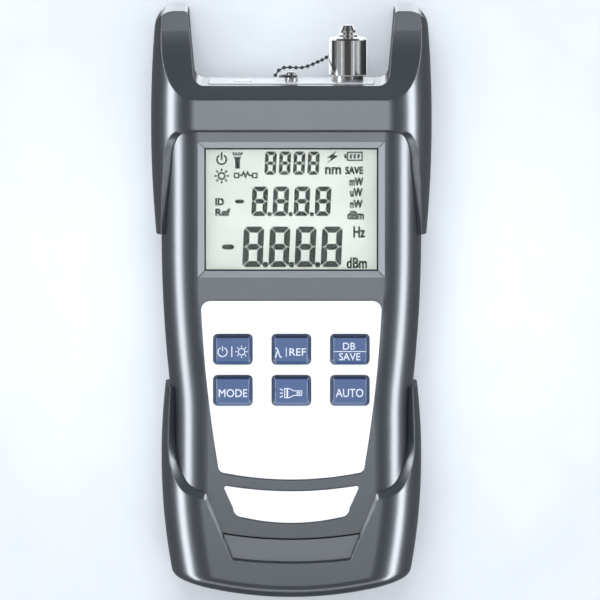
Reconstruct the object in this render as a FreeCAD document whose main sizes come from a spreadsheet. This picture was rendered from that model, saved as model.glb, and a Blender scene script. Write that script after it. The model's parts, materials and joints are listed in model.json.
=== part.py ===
import FreeCAD, Part
import math
import os
import re

import Sketcher
from FreeCAD import Placement, Rotation, Vector

# Optical power meter, lying on its back: X across, +Y towards the fibre port,
# +Z out of the face with the display and keys. Origin: middle of the footprint.

driving = {
    # casing, two shells parted on a plane
    "case_half": 38.7, "case_top": 63.8, "case_bottom": -79.5,
    "case_rear": 1.5, "case_front": 31.5, "case_wall": 2.0, "part_line": 16.0,
    "waist_top": 20.0, "waist_low": -23.0, "waist_round": 400.0, "waist_hollow": 100.0,
    "front_round": 11.0, "rear_round": 7.0,
    # guard with two horns round the port
    "guard_side": 3.1, "guard_bow": 360.0, "guard_middle": 54.0, "guard_front": 33.0,
    "guard_round": 13.0, "guard_rear_round": 8.0, "guard_low": 20.8, "horn_top": 87.5,
    "guard_fit": 0.1, "brow_line": 52.6, "brow_round": 9.0, "brow_rear": 44.0,
    "crease_line": 61.45, "scoop_run": 20.3, "scoop_depth": 5.9, "scoop_round": 48.0,
    "brow_inset": 0.9, "brow_side_up": 29.2, "wing_outset": 0.4, "wing_side_up": 26.1,
    "wing_slope": 2.1, "brow_slope": 0.53, "guard_back_lap": 3.7, "back_round": 6.0,
    "bay_floor": 65.6, "bay_half": 28.8, "bay_flare": 1.9, "bay_round": 3.3,
    "horn_round": 6.0, "horn_tip_round": 1.4, "opening_deep": 9.0,
    # boot round the lower end
    "boot_side": 0.1, "boot_bow": 190.0, "boot_middle": -46.0, "boot_high": -24.9,
    "boot_low": -81.9, "boot_sag": 5.6, "boot_round": 12.0, "boot_end_round": 3.8,
    "boot_shoulder": -57.4, "boot_wing_outset": 2.8, "boot_corner": 9.0,
    "boot_wing_slope": 0.9, "boot_shoulder_slope": 1.3, "tongue_slope": 0.3,
    "tongue_half": 25.0, "tongue_low_half": 18.3, "tongue_low": -76.0,
    "tongue_round": 2.2, "tongue_low_round": 1.5, "tongue_rise": 1.0, "boot_back_lap": 5.7,
    "boot_rear_line": -50.0,
    # display
    "lcd_half": 25.8, "lcd_low": 10.4, "lcd_high": 47.0, "bezel": 2.0, "bezel_depth": 1.4,
    "lens_lap": 2.2, "lens_thick": 1.0, "glass_lap": 1.2, "glass_thick": 2.1,
    "light_thick": 2.8,
    # keypad
    "pad_high": 1.8, "pad_side": 11.6, "pad_taper": 5.0, "pad_low": -50.3,
    "pad_sag": 1.9, "pad_round": 3.0, "pad_low_round": 2.4, "recess": 0.5, "overlay_thick": 0.4,
    "overlay_gap": 0.25, "key_side": 21.3, "key_row": -12.9, "key_step": 12.3,
    "key_wide": 11.2, "key_tall": 8.6, "key_round": 1.2, "key_gap": 0.25,
    "key_proud": 1.2, "key_bevel": 0.85, "key_lip": 0.9, "key_lip_thick": 1.2,
    "key_travel": 0.8,
    # nameplate and the pad under it
    "plate_half": 20.3, "plate_low_half": 17.6, "plate_high": -53.6, "plate_low": -63.5,
    "plate_sag": 1.7, "plate_round": 1.0, "plate_low_round": 3.0, "plate_top_sag": 1.6,
    "step_line": -67.0, "step_half": 25.0, "step_sag": 2.6, "step_depth": 0.8,
    # rubber mat and snap domes
    "mat_side": 7.1, "mat_low": -33.0, "mat_high": -5.0, "mat_thick": 0.8,
    "dome_radius": 4.2, "dome_top_radius": 2.8, "dome_gap": 0.2, "snap_radius": 2.6,
    "snap_tall": 0.6,
    # board
    "board_top": 24.0, "board_thick": 1.6, "board_gap": 0.5, "board_low": -60.0,
    "board_high": 57.5, "board_screw_inset": 3.3, "board_screw_high": 53.8,
    "board_screw_low": -57.0, "post_radius": 2.6, "pilot_radius": 0.9,
    "board_screw_head": 2.1, "board_head_thick": 1.3, "board_screw_reach": 4.0,
    # case screws
    "screw_inset": 10.2, "screw_high": 53.5, "screw_low": -66.0, "boss_radius": 3.2,
    "rear_boss_radius": 3.8, "screw_radius": 1.2, "screw_head": 2.5, "screw_seat": 4.2,
    "screw_head_thick": 1.6, "screw_tip": 23.5, "screw_gap": 0.1, "boss_high": 28.4,
    # batteries
    "cell_radius": 7.1, "cell_length": 49.5, "cell_pitch": 15.0, "cell_gap": 0.3,
    "nub_radius": 2.75, "nub_tall": 1.0, "tray_low": -33.5, "spring_room": 6.5,
    "tray_wall": 1.5, "door_lap": 1.2, "contact_thick": 0.4, "contact_wide": 9.0,
    "spring_wire": 0.45, "spring_radius": 3.6, "spring_turns": 3.0,
    "door_gap": 0.3, "hinge_pin": 0.6, "hinge_reach": 1.2, "pin_gap": 0.08,
    "hinge_y": -33.4, "hinge_z": 2.5, "notch_in": 6.0, "notch_half": 8.0, "notch_round": 2.1,
    "notch_deep": 0.7, "groove_pitch": 1.8, "groove_wide": 0.9, "groove_deep": 0.5,
    # port, dust cap and chain
    "port_x": 16.8, "port_z": 15.6, "panel_half": 24.6, "panel_tall": 17.6,
    "panel_thick": 2.0, "flange_half": 6.4, "flange_thick": 1.7, "port_thread": 4.0,
    "port_cup": 2.9, "port_bore": 1.25, "sleeve_radius": 1.6, "sleeve_end": 71.8,
    "port_collar": 4.6, "collar_end": 67.5, "thread_end": 73.0, "port_back": 57.0,
    "can_radius": 2.7, "cap_radius": 5.65, "cap_end": 78.75, "cap_chamfer": 0.55,
    "cap_bore_gap": 0.12, "cap_seat_gap": 0.1, "key_slot": 2.1,
    "neck_radius": 1.6, "knob_radius": 2.45, "knob_low": 80.1, "knob_high": 82.5,
    "ring_radius": 2.9, "ring_thick": 0.6, "ring_gap": 0.3, "lug_reach": 4.6,
    "anchor_head": 1.7, "anchor_base": 1.95, "anchor_neck": 1.0, "anchor_high": 68.5,
    "split_ring_radius": 2.6, "split_ring_wire": 0.28, "bead_radius": 0.58,
    "bead_count": 17, "link_wire": 0.22, "chain_tail": 1.7, "chain_loop": 3.9,
    # torch and buzzer
    "torch_x": -14.5, "torch_radius": 2.5, "buzzer_radius": 4.5, "buzzer_thick": 3.0,
    "buzzer_x": 11.0, "buzzer_y": -50.0,
}

# Sizes that follow from the others.
derived = {
    "guard_half": "case_half + guard_side", "boot_half": "case_half + boot_side",
    "pad_half": "case_half - pad_side", "pad_low_half": "pad_half - pad_taper",
    "key_pitch": "case_half - key_side", "mat_half": "key_pitch + mat_side",
    "tray_high": "tray_low + cell_length + spring_room",
    "screw_x": "case_half - screw_inset",
    "board_half": "screw_x - boss_radius - board_gap",
    "board_screw_x": "board_half - board_screw_inset",
}

doc = FreeCAD.newDocument("optical_power_meter")
sheet = doc.addObject("Spreadsheet::Sheet", "sizes")
for row, (alias, entry) in enumerate((driving | derived).items(), start=1):
    sheet.set(f"B{row}", f"={entry}" if alias in derived else str(entry))
    sheet.setAlias(f"B{row}", alias)
doc.recompute()

pieces = []


def cells(formula):
    """Put the sheet's name before each alias in a formula."""
    return re.sub(r"[a-z_]+", lambda word: f"sizes.{word.group()}"
                  if word.group() in driving or word.group() in derived else word.group(),
                  str(formula))


def value(formula):
    """The number that a formula gives now."""
    return float(sheet.evalExpression(cells(formula)))


def bind(feature, prop, formula):
    feature.setExpression(prop, cells(formula))


def piece(feature, label):
    """Name a finished sub-part, so that it is written out."""
    feature.Label = label
    pieces.append(feature)
    return feature


# ---- sketches and features -------------------------------------------------

def origin_part(body, role):
    return next(item for item in body.Origin.OriginFeatures if item.Role == role)


def new_body(name):
    return doc.addObject("PartDesign::Body", name)


def blank_sketch(body, name, plane, lift="0"):
    sketch = body.newObject("Sketcher::SketchObject", name)
    sketch.AttachmentSupport = (origin_part(body, plane), [""])
    sketch.MapMode = "FlatFace"
    bind(sketch, "AttachmentOffset.Base.z", lift)
    return sketch


def arc_between(start, end, radius):
    """A short arc from start to end; a positive radius turns left, a negative one right."""
    chord = end - start
    rise = math.sqrt(max(radius ** 2 - (chord.Length / 2) ** 2, 0))
    left = Vector(-chord.y, chord.x, 0).normalize()
    centre = (start + end) / 2 + left * rise * (1 if radius > 0 else -1)
    first, last = (start, end) if radius > 0 else (end, start)
    angles = [math.atan2(p.y - centre.y, p.x - centre.x) for p in (first, last)]
    circle = Part.Circle(centre, Vector(0, 0, 1), abs(radius))
    return Part.ArcOfCircle(circle, angles[0], angles[1])


def draw(body, name, plane, corners, lift="0"):
    """A closed outline. Each corner is (across, along) in formulas; a third entry makes
    the edge that leaves the corner an arc of that radius, left-turning when positive."""
    sketch = blank_sketch(body, name, plane, lift)
    points = [Vector(value(corner[0]), value(corner[1]), 0) for corner in corners]
    ends = []
    for index, corner in enumerate(corners):
        start, end = points[index], points[(index + 1) % len(points)]
        if len(corner) == 2:
            edge = sketch.addGeometry(Part.LineSegment(start, end), False)
            ends.append((edge, 1, 2))
        else:
            radius = value(corner[2])
            edge = sketch.addGeometry(arc_between(start, end, radius), False)
            ends.append((edge, 1, 2) if radius > 0 else (edge, 2, 1))
    for index, corner in enumerate(corners):
        edge, start, _ = ends[index]
        before, _, before_end = ends[index - 1]
        sketch.addConstraint(Sketcher.Constraint("Coincident", before, before_end, edge, start))
    for index, corner in enumerate(corners):
        edge, start, _ = ends[index]
        for kind, formula, number in (("DistanceX", corner[0], points[index].x),
                                      ("DistanceY", corner[1], points[index].y)):
            made = sketch.addConstraint(Sketcher.Constraint(kind, -1, 1, edge, start, number))
            bind(sketch, f"Constraints[{made}]", formula)
        if len(corner) == 3:
            made = sketch.addConstraint(
                Sketcher.Constraint("Radius", edge, abs(value(corner[2]))))
            bind(sketch, f"Constraints[{made}]", f"abs({corner[2]})")
    doc.recompute()
    return sketch


def draw_circles(body, name, spots, radius, lift="0"):
    """Equal circles on the XY plane, at spots of (across, along) formulas."""
    sketch = blank_sketch(body, name, "XY_Plane", lift)
    for across, along in spots:
        centre = Vector(value(across), value(along), 0)
        edge = sketch.addGeometry(Part.Circle(centre, Vector(0, 0, 1), value(radius)), False)
        for kind, formula, number in (("DistanceX", across, centre.x),
                                      ("DistanceY", along, centre.y)):
            made = sketch.addConstraint(Sketcher.Constraint(kind, -1, 1, edge, 3, number))
            bind(sketch, f"Constraints[{made}]", formula)
        made = sketch.addConstraint(Sketcher.Constraint("Radius", edge, value(radius)))
        bind(sketch, f"Constraints[{made}]", radius)
    doc.recompute()
    return sketch


def pad(body, sketch, length):
    feature = body.newObject("PartDesign::Pad", sketch.Name + "_pad")
    feature.Profile = sketch
    bind(feature, "Length", length)
    doc.recompute()
    return feature


def pocket(body, sketch, depth=None, upward=False):
    """Cut against the sketch's normal, or along it, to a depth or through everything."""
    before = body.Shape.Volume
    feature = body.newObject("PartDesign::Pocket", sketch.Name + "_pocket")
    feature.Profile = sketch
    feature.Reversed = upward
    if depth is None:
        feature.Type = "ThroughAll"
    else:
        bind(feature, "Length", depth)
    doc.recompute()
    if body.Shape.Volume > before - 1e-6:
        raise ValueError(f"{feature.Name} cuts nothing")
    return feature


def dress(body, kind, test, size):
    """Fillet or Chamfer the edges that pass a test of their middle point and box."""
    base = body.Tip
    names = [f"Edge{number}" for number, edge in enumerate(base.Shape.Edges, start=1)
             if test(edge.valueAt((edge.FirstParameter + edge.LastParameter) / 2),
                     edge.BoundBox)]
    if not names:
        raise ValueError(f"{body.Name} has no edge to dress")
    feature = body.newObject(f"PartDesign::{kind}", f"{body.Name}_{kind.lower()}")
    feature.Base = (base, names)
    bind(feature, "Radius" if kind == "Fillet" else "Size", size)
    doc.recompute()
    return feature


def revolve(body, sketch, axis):
    feature = body.newObject("PartDesign::Revolution", sketch.Name + "_turn")
    feature.Profile = sketch
    feature.ReferenceAxis = (origin_part(body, axis), [""])
    feature.Angle = 360
    doc.recompute()
    return feature


def place(feature, across="0", along="0", up="0"):
    for axis, formula in zip("xyz", (across, along, up)):
        bind(feature, f"Placement.Base.{axis}", formula)
    doc.recompute()


def turned(name, profile, axis="Y_Axis", at=("0", "0", "0")):
    """A lathe part: a profile of (radius, length) corners turned about an axis."""
    body = new_body(name)
    plane = "XY_Plane" if axis == "Y_Axis" else "XZ_Plane"
    revolve(body, draw(body, name + "_profile", plane, profile), axis)
    place(body, *at)
    return body


def slab(name, outline, low, high, lift_plane="XY_Plane"):
    """A plate of an outline between two heights."""
    body = new_body(name)
    pad(body, draw(body, name + "_outline", lift_plane, outline, low), f"({high}) - ({low})")
    return body


def box(name, left, right, near, far, low, high):
    feature = doc.addObject("Part::Box", name)
    bind(feature, "Length", f"({right}) - ({left})")
    bind(feature, "Width", f"({far}) - ({near})")
    bind(feature, "Height", f"({high}) - ({low})")
    place(feature, left, near, low)
    return feature


def rod(name, radius, across, along, low, high):
    """A cylinder that stands along Z."""
    feature = doc.addObject("Part::Cylinder", name)
    bind(feature, "Radius", radius)
    bind(feature, "Height", f"({high}) - ({low})")
    place(feature, across, along, low)
    return feature


def joined(name, features):
    feature = doc.addObject("Part::MultiFuse", name)
    feature.Shapes = features
    doc.recompute()
    return feature


def group(name, features):
    feature = doc.addObject("Part::Compound", name)
    feature.Links = features
    doc.recompute()
    return feature


def cut(name, base, *tools):
    feature = doc.addObject("Part::Cut", name)
    feature.Base = base
    feature.Tool = tools[0] if len(tools) == 1 else joined(name + "_tools", list(tools))
    doc.recompute()
    return feature


def mirrored_corners(right_side, closing=()):
    """Right-hand corners from the top down, and their mirror images back up; closing is
    the arc of the last edge, across the top."""
    left_side = []
    for index in range(len(right_side) - 1, -1, -1):
        across, along = right_side[index][:2]
        arc = right_side[index - 1][2:] if index else closing
        left_side.append((f"-({across})", along) + tuple(arc))
    return list(right_side) + left_side


def rectangle(half, low, high):
    return [(half, high), (half, low), (f"-({half})", low), (f"-({half})", high)]


# ---- the big forms ---------------------------------------------------------

def side_rounds(body, front, rear, front_size, rear_size):
    """Round the long front and rear edges of a block that was padded along Z."""
    def long_edge(height):
        level = value(height)
        return lambda middle, room: (abs(middle.z - level) < 1e-3 and room.ZLength < 1e-3
                                     and room.YLength > room.XLength)
    dress(body, "Fillet", long_edge(front), front_size)
    dress(body, "Fillet", long_edge(rear), rear_size)


def casing_block(name, inset):
    """The casing's solid form, drawn in all round by inset: straight above the waist,
    then one long arc inwards and a hollow arc back to straight sides."""
    sine = "((waist_top - waist_low) / waist_round)"
    fall = f"(1 - sqrt(1 - {sine}^2))"
    bow = f"(waist_round - ({inset}))"
    hollow = f"(waist_hollow + ({inset}))"
    half = f"(case_half - ({inset}))"
    neck = f"({half} - {bow} * {fall})"
    low = f"({neck} - {hollow} * {fall})"
    neck_line = f"(waist_top - {bow} * {sine})"
    body = new_body(name)
    outline = draw(body, name + "_outline", "XY_Plane", mirrored_corners([
        (half, f"case_top - ({inset})"),
        (half, "waist_top", f"-({bow})"),
        (neck, neck_line, hollow),
        (low, f"{neck_line} - {hollow} * {sine}"),
        (low, f"case_bottom + ({inset})")]), f"case_rear + ({inset})")
    pad(body, outline, f"case_front - case_rear - 2 * ({inset})")
    side_rounds(body, f"case_front - ({inset})", f"case_rear + ({inset})",
                f"front_round - ({inset})", f"rear_round - ({inset})")
    return body


def bowed(half, bow, middle, line):
    """Half-width of a bowed side on a line across."""
    return f"({half} - {bow} + sqrt({bow}^2 - (({line}) - ({middle}))^2))"


def bumper_block(name, half, bow, middle, low, high, front_round, rear_round):
    """A block with bowed sides, from the resting plane to the guard's front."""
    def side(line):
        return bowed(half, bow, middle, line)
    body = new_body(name)
    outline = draw(body, name + "_outline", "XY_Plane", [
        (side(high), high, f"-{bow}"), (side(low), low),
        (f"-{side(low)}", low, f"-{bow}"), (f"-{side(high)}", high)])
    pad(body, outline, "guard_front")
    side_rounds(body, "guard_front", "0", front_round, rear_round)
    return body


def loft(body, low_sketch, high_sketch):
    feature = body.newObject("PartDesign::AdditiveLoft", body.Name + "_loft")
    feature.Profile = low_sketch
    feature.Sections = [high_sketch]
    feature.Ruled = True
    doc.recompute()
    return feature


def subtract(body, tool):
    """Cut another body out of a body."""
    before = body.Shape.Volume
    feature = body.newObject("PartDesign::Boolean", body.Name + "_" + tool.Name)
    feature.Type = "Cut"
    feature.setObjects([tool])
    doc.recompute()
    if body.Shape.Volume > before - 1e-6:
        raise ValueError(f"{feature.Name} cuts nothing")
    return feature


def mirror(body, *features):
    feature = body.newObject("PartDesign::Mirrored", features[0].Name + "_mirrored")
    feature.Originals = list(features)
    feature.MirrorPlane = (origin_part(body, "YZ_Plane"), [""])
    body.Tip = feature
    doc.recompute()
    return feature


# ---- guard and boot --------------------------------------------------------


def brow_tool():
    """The tapered opening in the guard's front: flat slopes on the wings, a steep one
    under the brow, with large corners."""
    body = new_body("brow_tool")

    def outline(name, level):
        top = f"(brow_line + ({level} - guard_front) * brow_slope)"
        side = f"(case_half - brow_inset + ({level} - brow_side_up) * wing_slope)"
        tip = f"(case_half + wing_outset + ({level} - wing_side_up) * wing_slope)"
        return draw(body, name, "XY_Plane", mirrored_corners([
            (f"{side} - brow_round", top, "-brow_round"),
            (side, f"{top} - brow_round"),
            (tip, "guard_low - 1")]), level)
    loft(body, outline("brow_inner", "guard_front - opening_deep"),
         outline("brow_outer", "guard_front + 1"))
    return body


def rear_opening(name, half, line, end):
    """The opening in a bumper's back, with walls that slope at 45 degrees."""
    body = new_body(name)

    def outline(part, level):
        reach = f"({half} - ({level}))"
        edge = f"({line} - ({level}))" if value(line) > 0 else f"({line} + ({level}))"
        turn = "1" if value(line) > 0 else "-1"
        corner = f"({edge} - ({turn}) * back_round)"
        return draw(body, name + part, "XY_Plane", mirrored_corners([
            (f"{reach} - back_round", edge, f"-back_round * ({turn})"), (reach, corner),
            (reach, end)]), level)
    loft(body, outline("_outer", "-1"), outline("_inner", "opening_deep"))
    return body


def top_guard():
    body = bumper_block("guard_form", "guard_half", "guard_bow", "guard_middle", "guard_low",
                        "horn_top", "guard_round", "guard_rear_round")
    scoop = draw(body, "scoop", "YZ_Plane", [
        ("crease_line", "guard_front", "scoop_round"),
        ("crease_line + scoop_run", "guard_front - scoop_depth"),
        ("horn_top + 5", "guard_front - scoop_depth - 0.6"),
        ("horn_top + 5", "guard_front + 5"),
        ("crease_line", "guard_front + 5")], "guard_half + 5")
    pocket(body, scoop)
    bay = draw(body, "bay", "XY_Plane", mirrored_corners([
        ("bay_half + bay_flare", "horn_top + 3"),
        ("bay_half + bay_flare", "horn_top"),
        ("bay_half", "bay_floor")]), "guard_front + 1")
    pocket(body, bay)
    dress(body, "Fillet", lambda middle, room: abs(abs(middle.x) - value("bay_half")) < 0.1
          and abs(middle.y - value("bay_floor")) < 0.1 and room.ZLength > 5, "bay_round")
    dress(body, "Fillet", lambda middle, room: abs(middle.y - value("horn_top")) < 0.01
          and abs(abs(middle.x) - value("bay_half + bay_flare")) < 0.1 and room.ZLength > 5,
          "horn_tip_round")
    shoulder = bowed("guard_half", "guard_bow", "guard_middle", "horn_top - horn_round")
    corner = draw(body, "horn_corner", "XY_Plane", [
        (f"{shoulder} + 4", "horn_top + 4"),
        (f"{shoulder} + 4", "horn_top - horn_round"),
        (shoulder, "horn_top - horn_round", "horn_round"),
        (f"{shoulder} - horn_round", "horn_top"),
        (f"{shoulder} - horn_round", "horn_top + 4")], "guard_front + 1")
    mirror(body, pocket(body, corner))
    opened = cut("guard_opened", body, casing_block("guard_seat", "-guard_fit"), brow_tool(),
                 rear_opening("guard_back", "case_half - guard_back_lap", "brow_rear",
                              "guard_low - 1"))
    window = box("guard_window", "-panel_half - guard_fit", "panel_half + guard_fit",
                 "case_top - 1", "bay_floor + 1", "port_z - panel_tall / 2 - guard_fit",
                 "port_z + panel_tall / 2 + guard_fit")
    return piece(cut("top_guard", opened, window), "top_guard")


def boot_tool():
    """The tapered opening in the boot's front: wide between the wings, then a tongue."""
    body = new_body("boot_tool")

    def outline(name, level):
        depth = f"(guard_front - ({level}))"
        side = f"(case_half + boot_wing_outset - {depth} * boot_wing_slope)"
        shoulder = f"(boot_shoulder + {depth} * boot_shoulder_slope)"
        top = f"(tongue_half - {depth} * tongue_slope)"
        low = f"(tongue_low_half - {depth} * tongue_slope)"
        floor = f"(tongue_low + {depth} * tongue_slope)"
        end = f"({low} - tongue_low_round)"
        return draw(body, name, "XY_Plane", mirrored_corners([
            (side, "boot_high + 1"),
            (side, f"{shoulder} + boot_corner", "-boot_corner"),
            (f"{side} - boot_corner", shoulder),
            (f"{top} + tongue_round", shoulder, "tongue_round"),
            (top, f"{shoulder} - tongue_round"),
            (low, f"{floor} + tongue_low_round", "-tongue_low_round"),
            (end, floor, f"-({end}^2 + tongue_rise^2) / (2 * tongue_rise)")]), level)
    loft(body, outline("boot_inner", "guard_front - opening_deep"),
         outline("boot_outer", "guard_front + 1"))
    return body


def bottom_boot():
    body = bumper_block("boot_form", "boot_half", "boot_bow", "boot_middle", "boot_low - 12",
                        "boot_high", "boot_round", "guard_rear_round")
    half = bowed("boot_half", "boot_bow", "boot_middle", "boot_low")
    end = draw(body, "boot_end", "XY_Plane", [
        (f"{half} + 9", "boot_low"), (f"{half} + 9", "boot_low - 14"),
        (f"-{half} - 9", "boot_low - 14"), (f"-{half} - 9", "boot_low"),
        (f"-{half}", "boot_low", f"({half}^2 + boot_sag^2) / (2 * boot_sag)"),
        (half, "boot_low")], "guard_front + 1")
    pocket(body, end)
    dress(body, "Fillet", lambda middle, room: middle.y < value("boot_low") + 0.6
          and room.YLength < value("boot_sag") + 1, "boot_end_round")
    return piece(cut("bottom_boot", body, casing_block("boot_seat", "-guard_fit"), boot_tool(),
                     rear_opening("boot_back", "case_half - boot_back_lap", "boot_rear_line",
                                  "boot_high + 1")), "bottom_boot")


# ---- outlines shared by the covers and what sits in them --------------------

KEY_NAMES = {"key_power": (-1, 0), "key_wavelength": (0, 0), "key_store": (1, 0),
             "key_mode": (-1, 1), "key_torch": (0, 1), "key_auto": (1, 1)}


def shield(top_half, low_half, high, low, sag, top_round, low_round, inset, top_sag=None):
    """A keypad outline: sides that bow in towards the bottom and an arched lower edge."""
    chord = f"({low_half} - {low_round})"
    arch = f"(({chord}^2 + ({sag})^2) / (2 * ({sag})))"
    closing = ()
    if top_sag:
        top_chord = f"({top_half} - {top_round})"
        closing = (f"({top_chord}^2 + ({top_sag})^2) / (2 * ({top_sag}))",)
    return mirrored_corners([
        (f"{top_half} - {top_round}", f"{high} - {inset}", f"{inset} - {top_round}"),
        (f"{top_half} - {inset}", f"{high} - {top_round}", f"{inset} - waist_round"),
        (f"{low_half} - {inset}", f"{low} + {low_round}", f"{inset} - {low_round}"),
        (chord, f"{low} + {inset}", f"-{arch}")], closing)


def keypad_outline(inset):
    return shield("pad_half", "pad_low_half", "pad_high", "pad_low", "pad_sag", "pad_round",
                  "pad_low_round", inset)


def nameplate_outline(inset):
    return shield("plate_half", "plate_low_half", "plate_high", "plate_low", "plate_sag",
                  "plate_round", "plate_low_round", inset, "plate_top_sag")


def rounded(across, along, half_wide, half_tall, corner):
    """A rounded rectangle about a point."""
    right, left = f"{across} + ({half_wide})", f"{across} - ({half_wide})"
    top, bottom = f"{along} + ({half_tall})", f"{along} - ({half_tall})"
    corner = f"({corner})"
    turn = f"-{corner}"
    return [(f"{right} - {corner}", top, turn), (right, f"{top} - {corner}"),
            (right, f"{bottom} + {corner}", turn), (f"{right} - {corner}", bottom),
            (f"{left} + {corner}", bottom, turn), (left, f"{bottom} + {corner}"),
            (left, f"{top} - {corner}", turn), (f"{left} + {corner}", top)]


def key_place(label):
    column, row = KEY_NAMES[label]
    return f"({column} * key_pitch)", f"(key_row - {row} * key_step)"


def key_block(name, label, grow, low, high):
    """A block of a key's outline, grown by a margin."""
    across, along = key_place(label)
    return slab(name, rounded(across, along, f"(key_wide / 2 + {grow})",
                              f"(key_tall / 2 + {grow})", f"(key_round + {grow} / 2)"),
                low, high)


def four(across, high, low):
    return [(across, high), (f"-{across}", high), (across, low), (f"-{across}", low)]


# ---- covers ----------------------------------------------------------------

def half_casing(name, keep_front):
    """One half of the hollow casing."""
    body = casing_block(name, "0")
    plane = draw(body, name + "_part", "XY_Plane",
                 rectangle("case_half + 5", "case_bottom - 5", "case_top + 5"), "part_line")
    pocket(body, plane, upward=not keep_front)
    subtract(body, casing_block(name + "_hollow", "case_wall"))
    return body


def port_openings(name):
    """What passes through the casing's end wall: port flange, torch and anchor screw."""
    port = box(name + "_port", "port_x - flange_half - screw_gap",
               "port_x + flange_half + screw_gap", "case_top - case_wall - 1",
               "case_top + 1", "port_z - flange_half - screw_gap",
               "port_z + flange_half + screw_gap")
    torch = y_rod(name + "_torch", "torch_radius + screw_gap", "torch_x",
                  "case_top - case_wall - 1", "case_top + 1")
    anchor = y_rod(name + "_anchor", "anchor_neck + screw_gap", "0",
                   "case_top - case_wall - 1", "case_top + 1")
    return [port, torch, anchor]


def y_rod(name, radius, across, near, far):
    """A cylinder along Y at the port's height."""
    return turned(name, [("0", near), (radius, near), (radius, far), ("0", far)],
                  at=(across, "0", "port_z"))


def display_opening():
    """The bevelled opening over the display."""
    body = new_body("display_opening")

    def outline(name, spread, level):
        half = f"(lcd_half + {spread} * bezel)"
        return draw(body, name, "XY_Plane", rectangle(
            half, f"(lcd_low - {spread} * bezel)", f"(lcd_high + {spread} * bezel)"), level)
    loft(body, outline("display_low", "-0.5", "case_front - 1.5 * bezel_depth"),
         outline("display_high", "1.5", "case_front + 0.5 * bezel_depth"))
    return body


def front_cover():
    body = half_casing("front_form", True)
    posts = draw_circles(body, "board_posts",
                         four("board_screw_x", "board_screw_high", "board_screw_low"),
                         "post_radius", "board_top")
    pad(body, posts, "case_front - case_wall - board_top + 0.4")
    bosses = draw_circles(body, "case_bosses", four("screw_x", "screw_high", "screw_low"),
                          "boss_radius", "part_line")
    pad(body, bosses, "boss_high - part_line")
    pocket(body, draw_circles(body, "board_pilots",
                              four("board_screw_x", "board_screw_high", "board_screw_low"),
                              "pilot_radius + screw_gap", "board_top - 1"),
           "board_screw_reach + 1.5", upward=True)
    pocket(body, draw_circles(body, "case_pilots", four("screw_x", "screw_high", "screw_low"),
                              "screw_radius + screw_gap", "part_line - 1"),
           "screw_tip - part_line + 1.3", upward=True)
    lens = draw(body, "lens_seat", "XY_Plane", rectangle(
        "lcd_half + lens_lap + 0.1", "lcd_low - lens_lap - 0.1",
        "lcd_high + lens_lap + 0.1"), "case_front - bezel_depth")
    pocket(body, lens, "lens_thick + 0.2")
    pocket(body, draw(body, "keypad_recess", "XY_Plane", keypad_outline("0"),
                      "case_front"), "recess")
    pocket(body, draw(body, "nameplate_recess", "XY_Plane", nameplate_outline("0"),
                      "case_front"), "recess")
    step = draw(body, "lower_step", "XY_Plane", [
        ("step_half", "step_line"), ("step_half", "case_bottom - 2"),
        ("-step_half", "case_bottom - 2"),
        ("-step_half", "step_line", "(step_half^2 + step_sag^2) / (2 * step_sag)")],
        "case_front")
    pocket(body, step, "step_depth")
    wells = [key_block(f"{label}_well", label, "key_gap", "case_front - case_wall - 1",
                       "case_front + 1") for label in KEY_NAMES]
    return piece(cut("front_cover", body, display_opening(), *wells,
                     *port_openings("front_end")), "front_cover")


def hinge_rod(name, radius, reach):
    """The battery cover's hinge line, across the casing."""
    body = new_body(name)
    spot = draw_circle_yz(body, name + "_spot", "hinge_y", "hinge_z", radius, f"-({reach})")
    pad(body, spot, f"2 * ({reach})")
    return body


def draw_circle_yz(body, name, along, up, radius, lift):
    sketch = blank_sketch(body, name, "YZ_Plane", lift)
    centre = Vector(value(along), value(up), 0)
    edge = sketch.addGeometry(Part.Circle(centre, Vector(0, 0, 1), value(radius)), False)
    for kind, formula, number in (("DistanceX", along, centre.x), ("DistanceY", up, centre.y)):
        made = sketch.addConstraint(Sketcher.Constraint(kind, -1, 1, edge, 3, number))
        bind(sketch, f"Constraints[{made}]", formula)
    made = sketch.addConstraint(Sketcher.Constraint("Radius", edge, value(radius)))
    bind(sketch, f"Constraints[{made}]", radius)
    doc.recompute()
    return sketch


TRAY_HALF = "(1.5 * cell_pitch + cell_gap)"
TRAY_TOP = "(case_rear + case_wall + 2 * cell_radius + 2 * cell_gap)"
DOOR_HALF = f"({TRAY_HALF} + door_lap)"


def rear_cover():
    body = half_casing("rear_form", False)
    pad(body, draw_circles(body, "rear_bosses", four("screw_x", "screw_high", "screw_low"),
                           "rear_boss_radius", "case_rear + case_wall - 0.3"),
        "part_line - case_rear - case_wall + 0.3")
    pad(body, draw(body, "tray_block", "XY_Plane", rectangle(
        f"{TRAY_HALF} + tray_wall", "tray_low - tray_wall", "tray_high + tray_wall"),
        "case_rear + case_wall - 0.3"), f"{TRAY_TOP} + tray_wall - case_rear - case_wall + 0.3")
    pocket(body, draw(body, "tray_hollow", "XY_Plane", rectangle(
        TRAY_HALF, "tray_low", "tray_high"), "0"), TRAY_TOP, upward=True)
    pocket(body, draw(body, "door_opening", "XY_Plane", rectangle(
        DOOR_HALF, "tray_low - door_lap", "tray_high + door_lap"), "0"),
        "case_rear + case_wall", upward=True)
    pocket(body, draw_circles(body, "screw_seats", four("screw_x", "screw_high", "screw_low"),
                              "screw_head + screw_gap", "0"), "screw_seat", upward=True)
    pocket(body, draw_circles(body, "screw_holes", four("screw_x", "screw_high", "screw_low"),
                              "screw_radius + screw_gap", "0"), "part_line + 1", upward=True)
    return piece(cut("rear_cover", body, hinge_rod(
        "hinge_hole", "hinge_pin + pin_gap", f"{DOOR_HALF} + hinge_reach"),
        *port_openings("rear_end")), "rear_cover")


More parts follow.
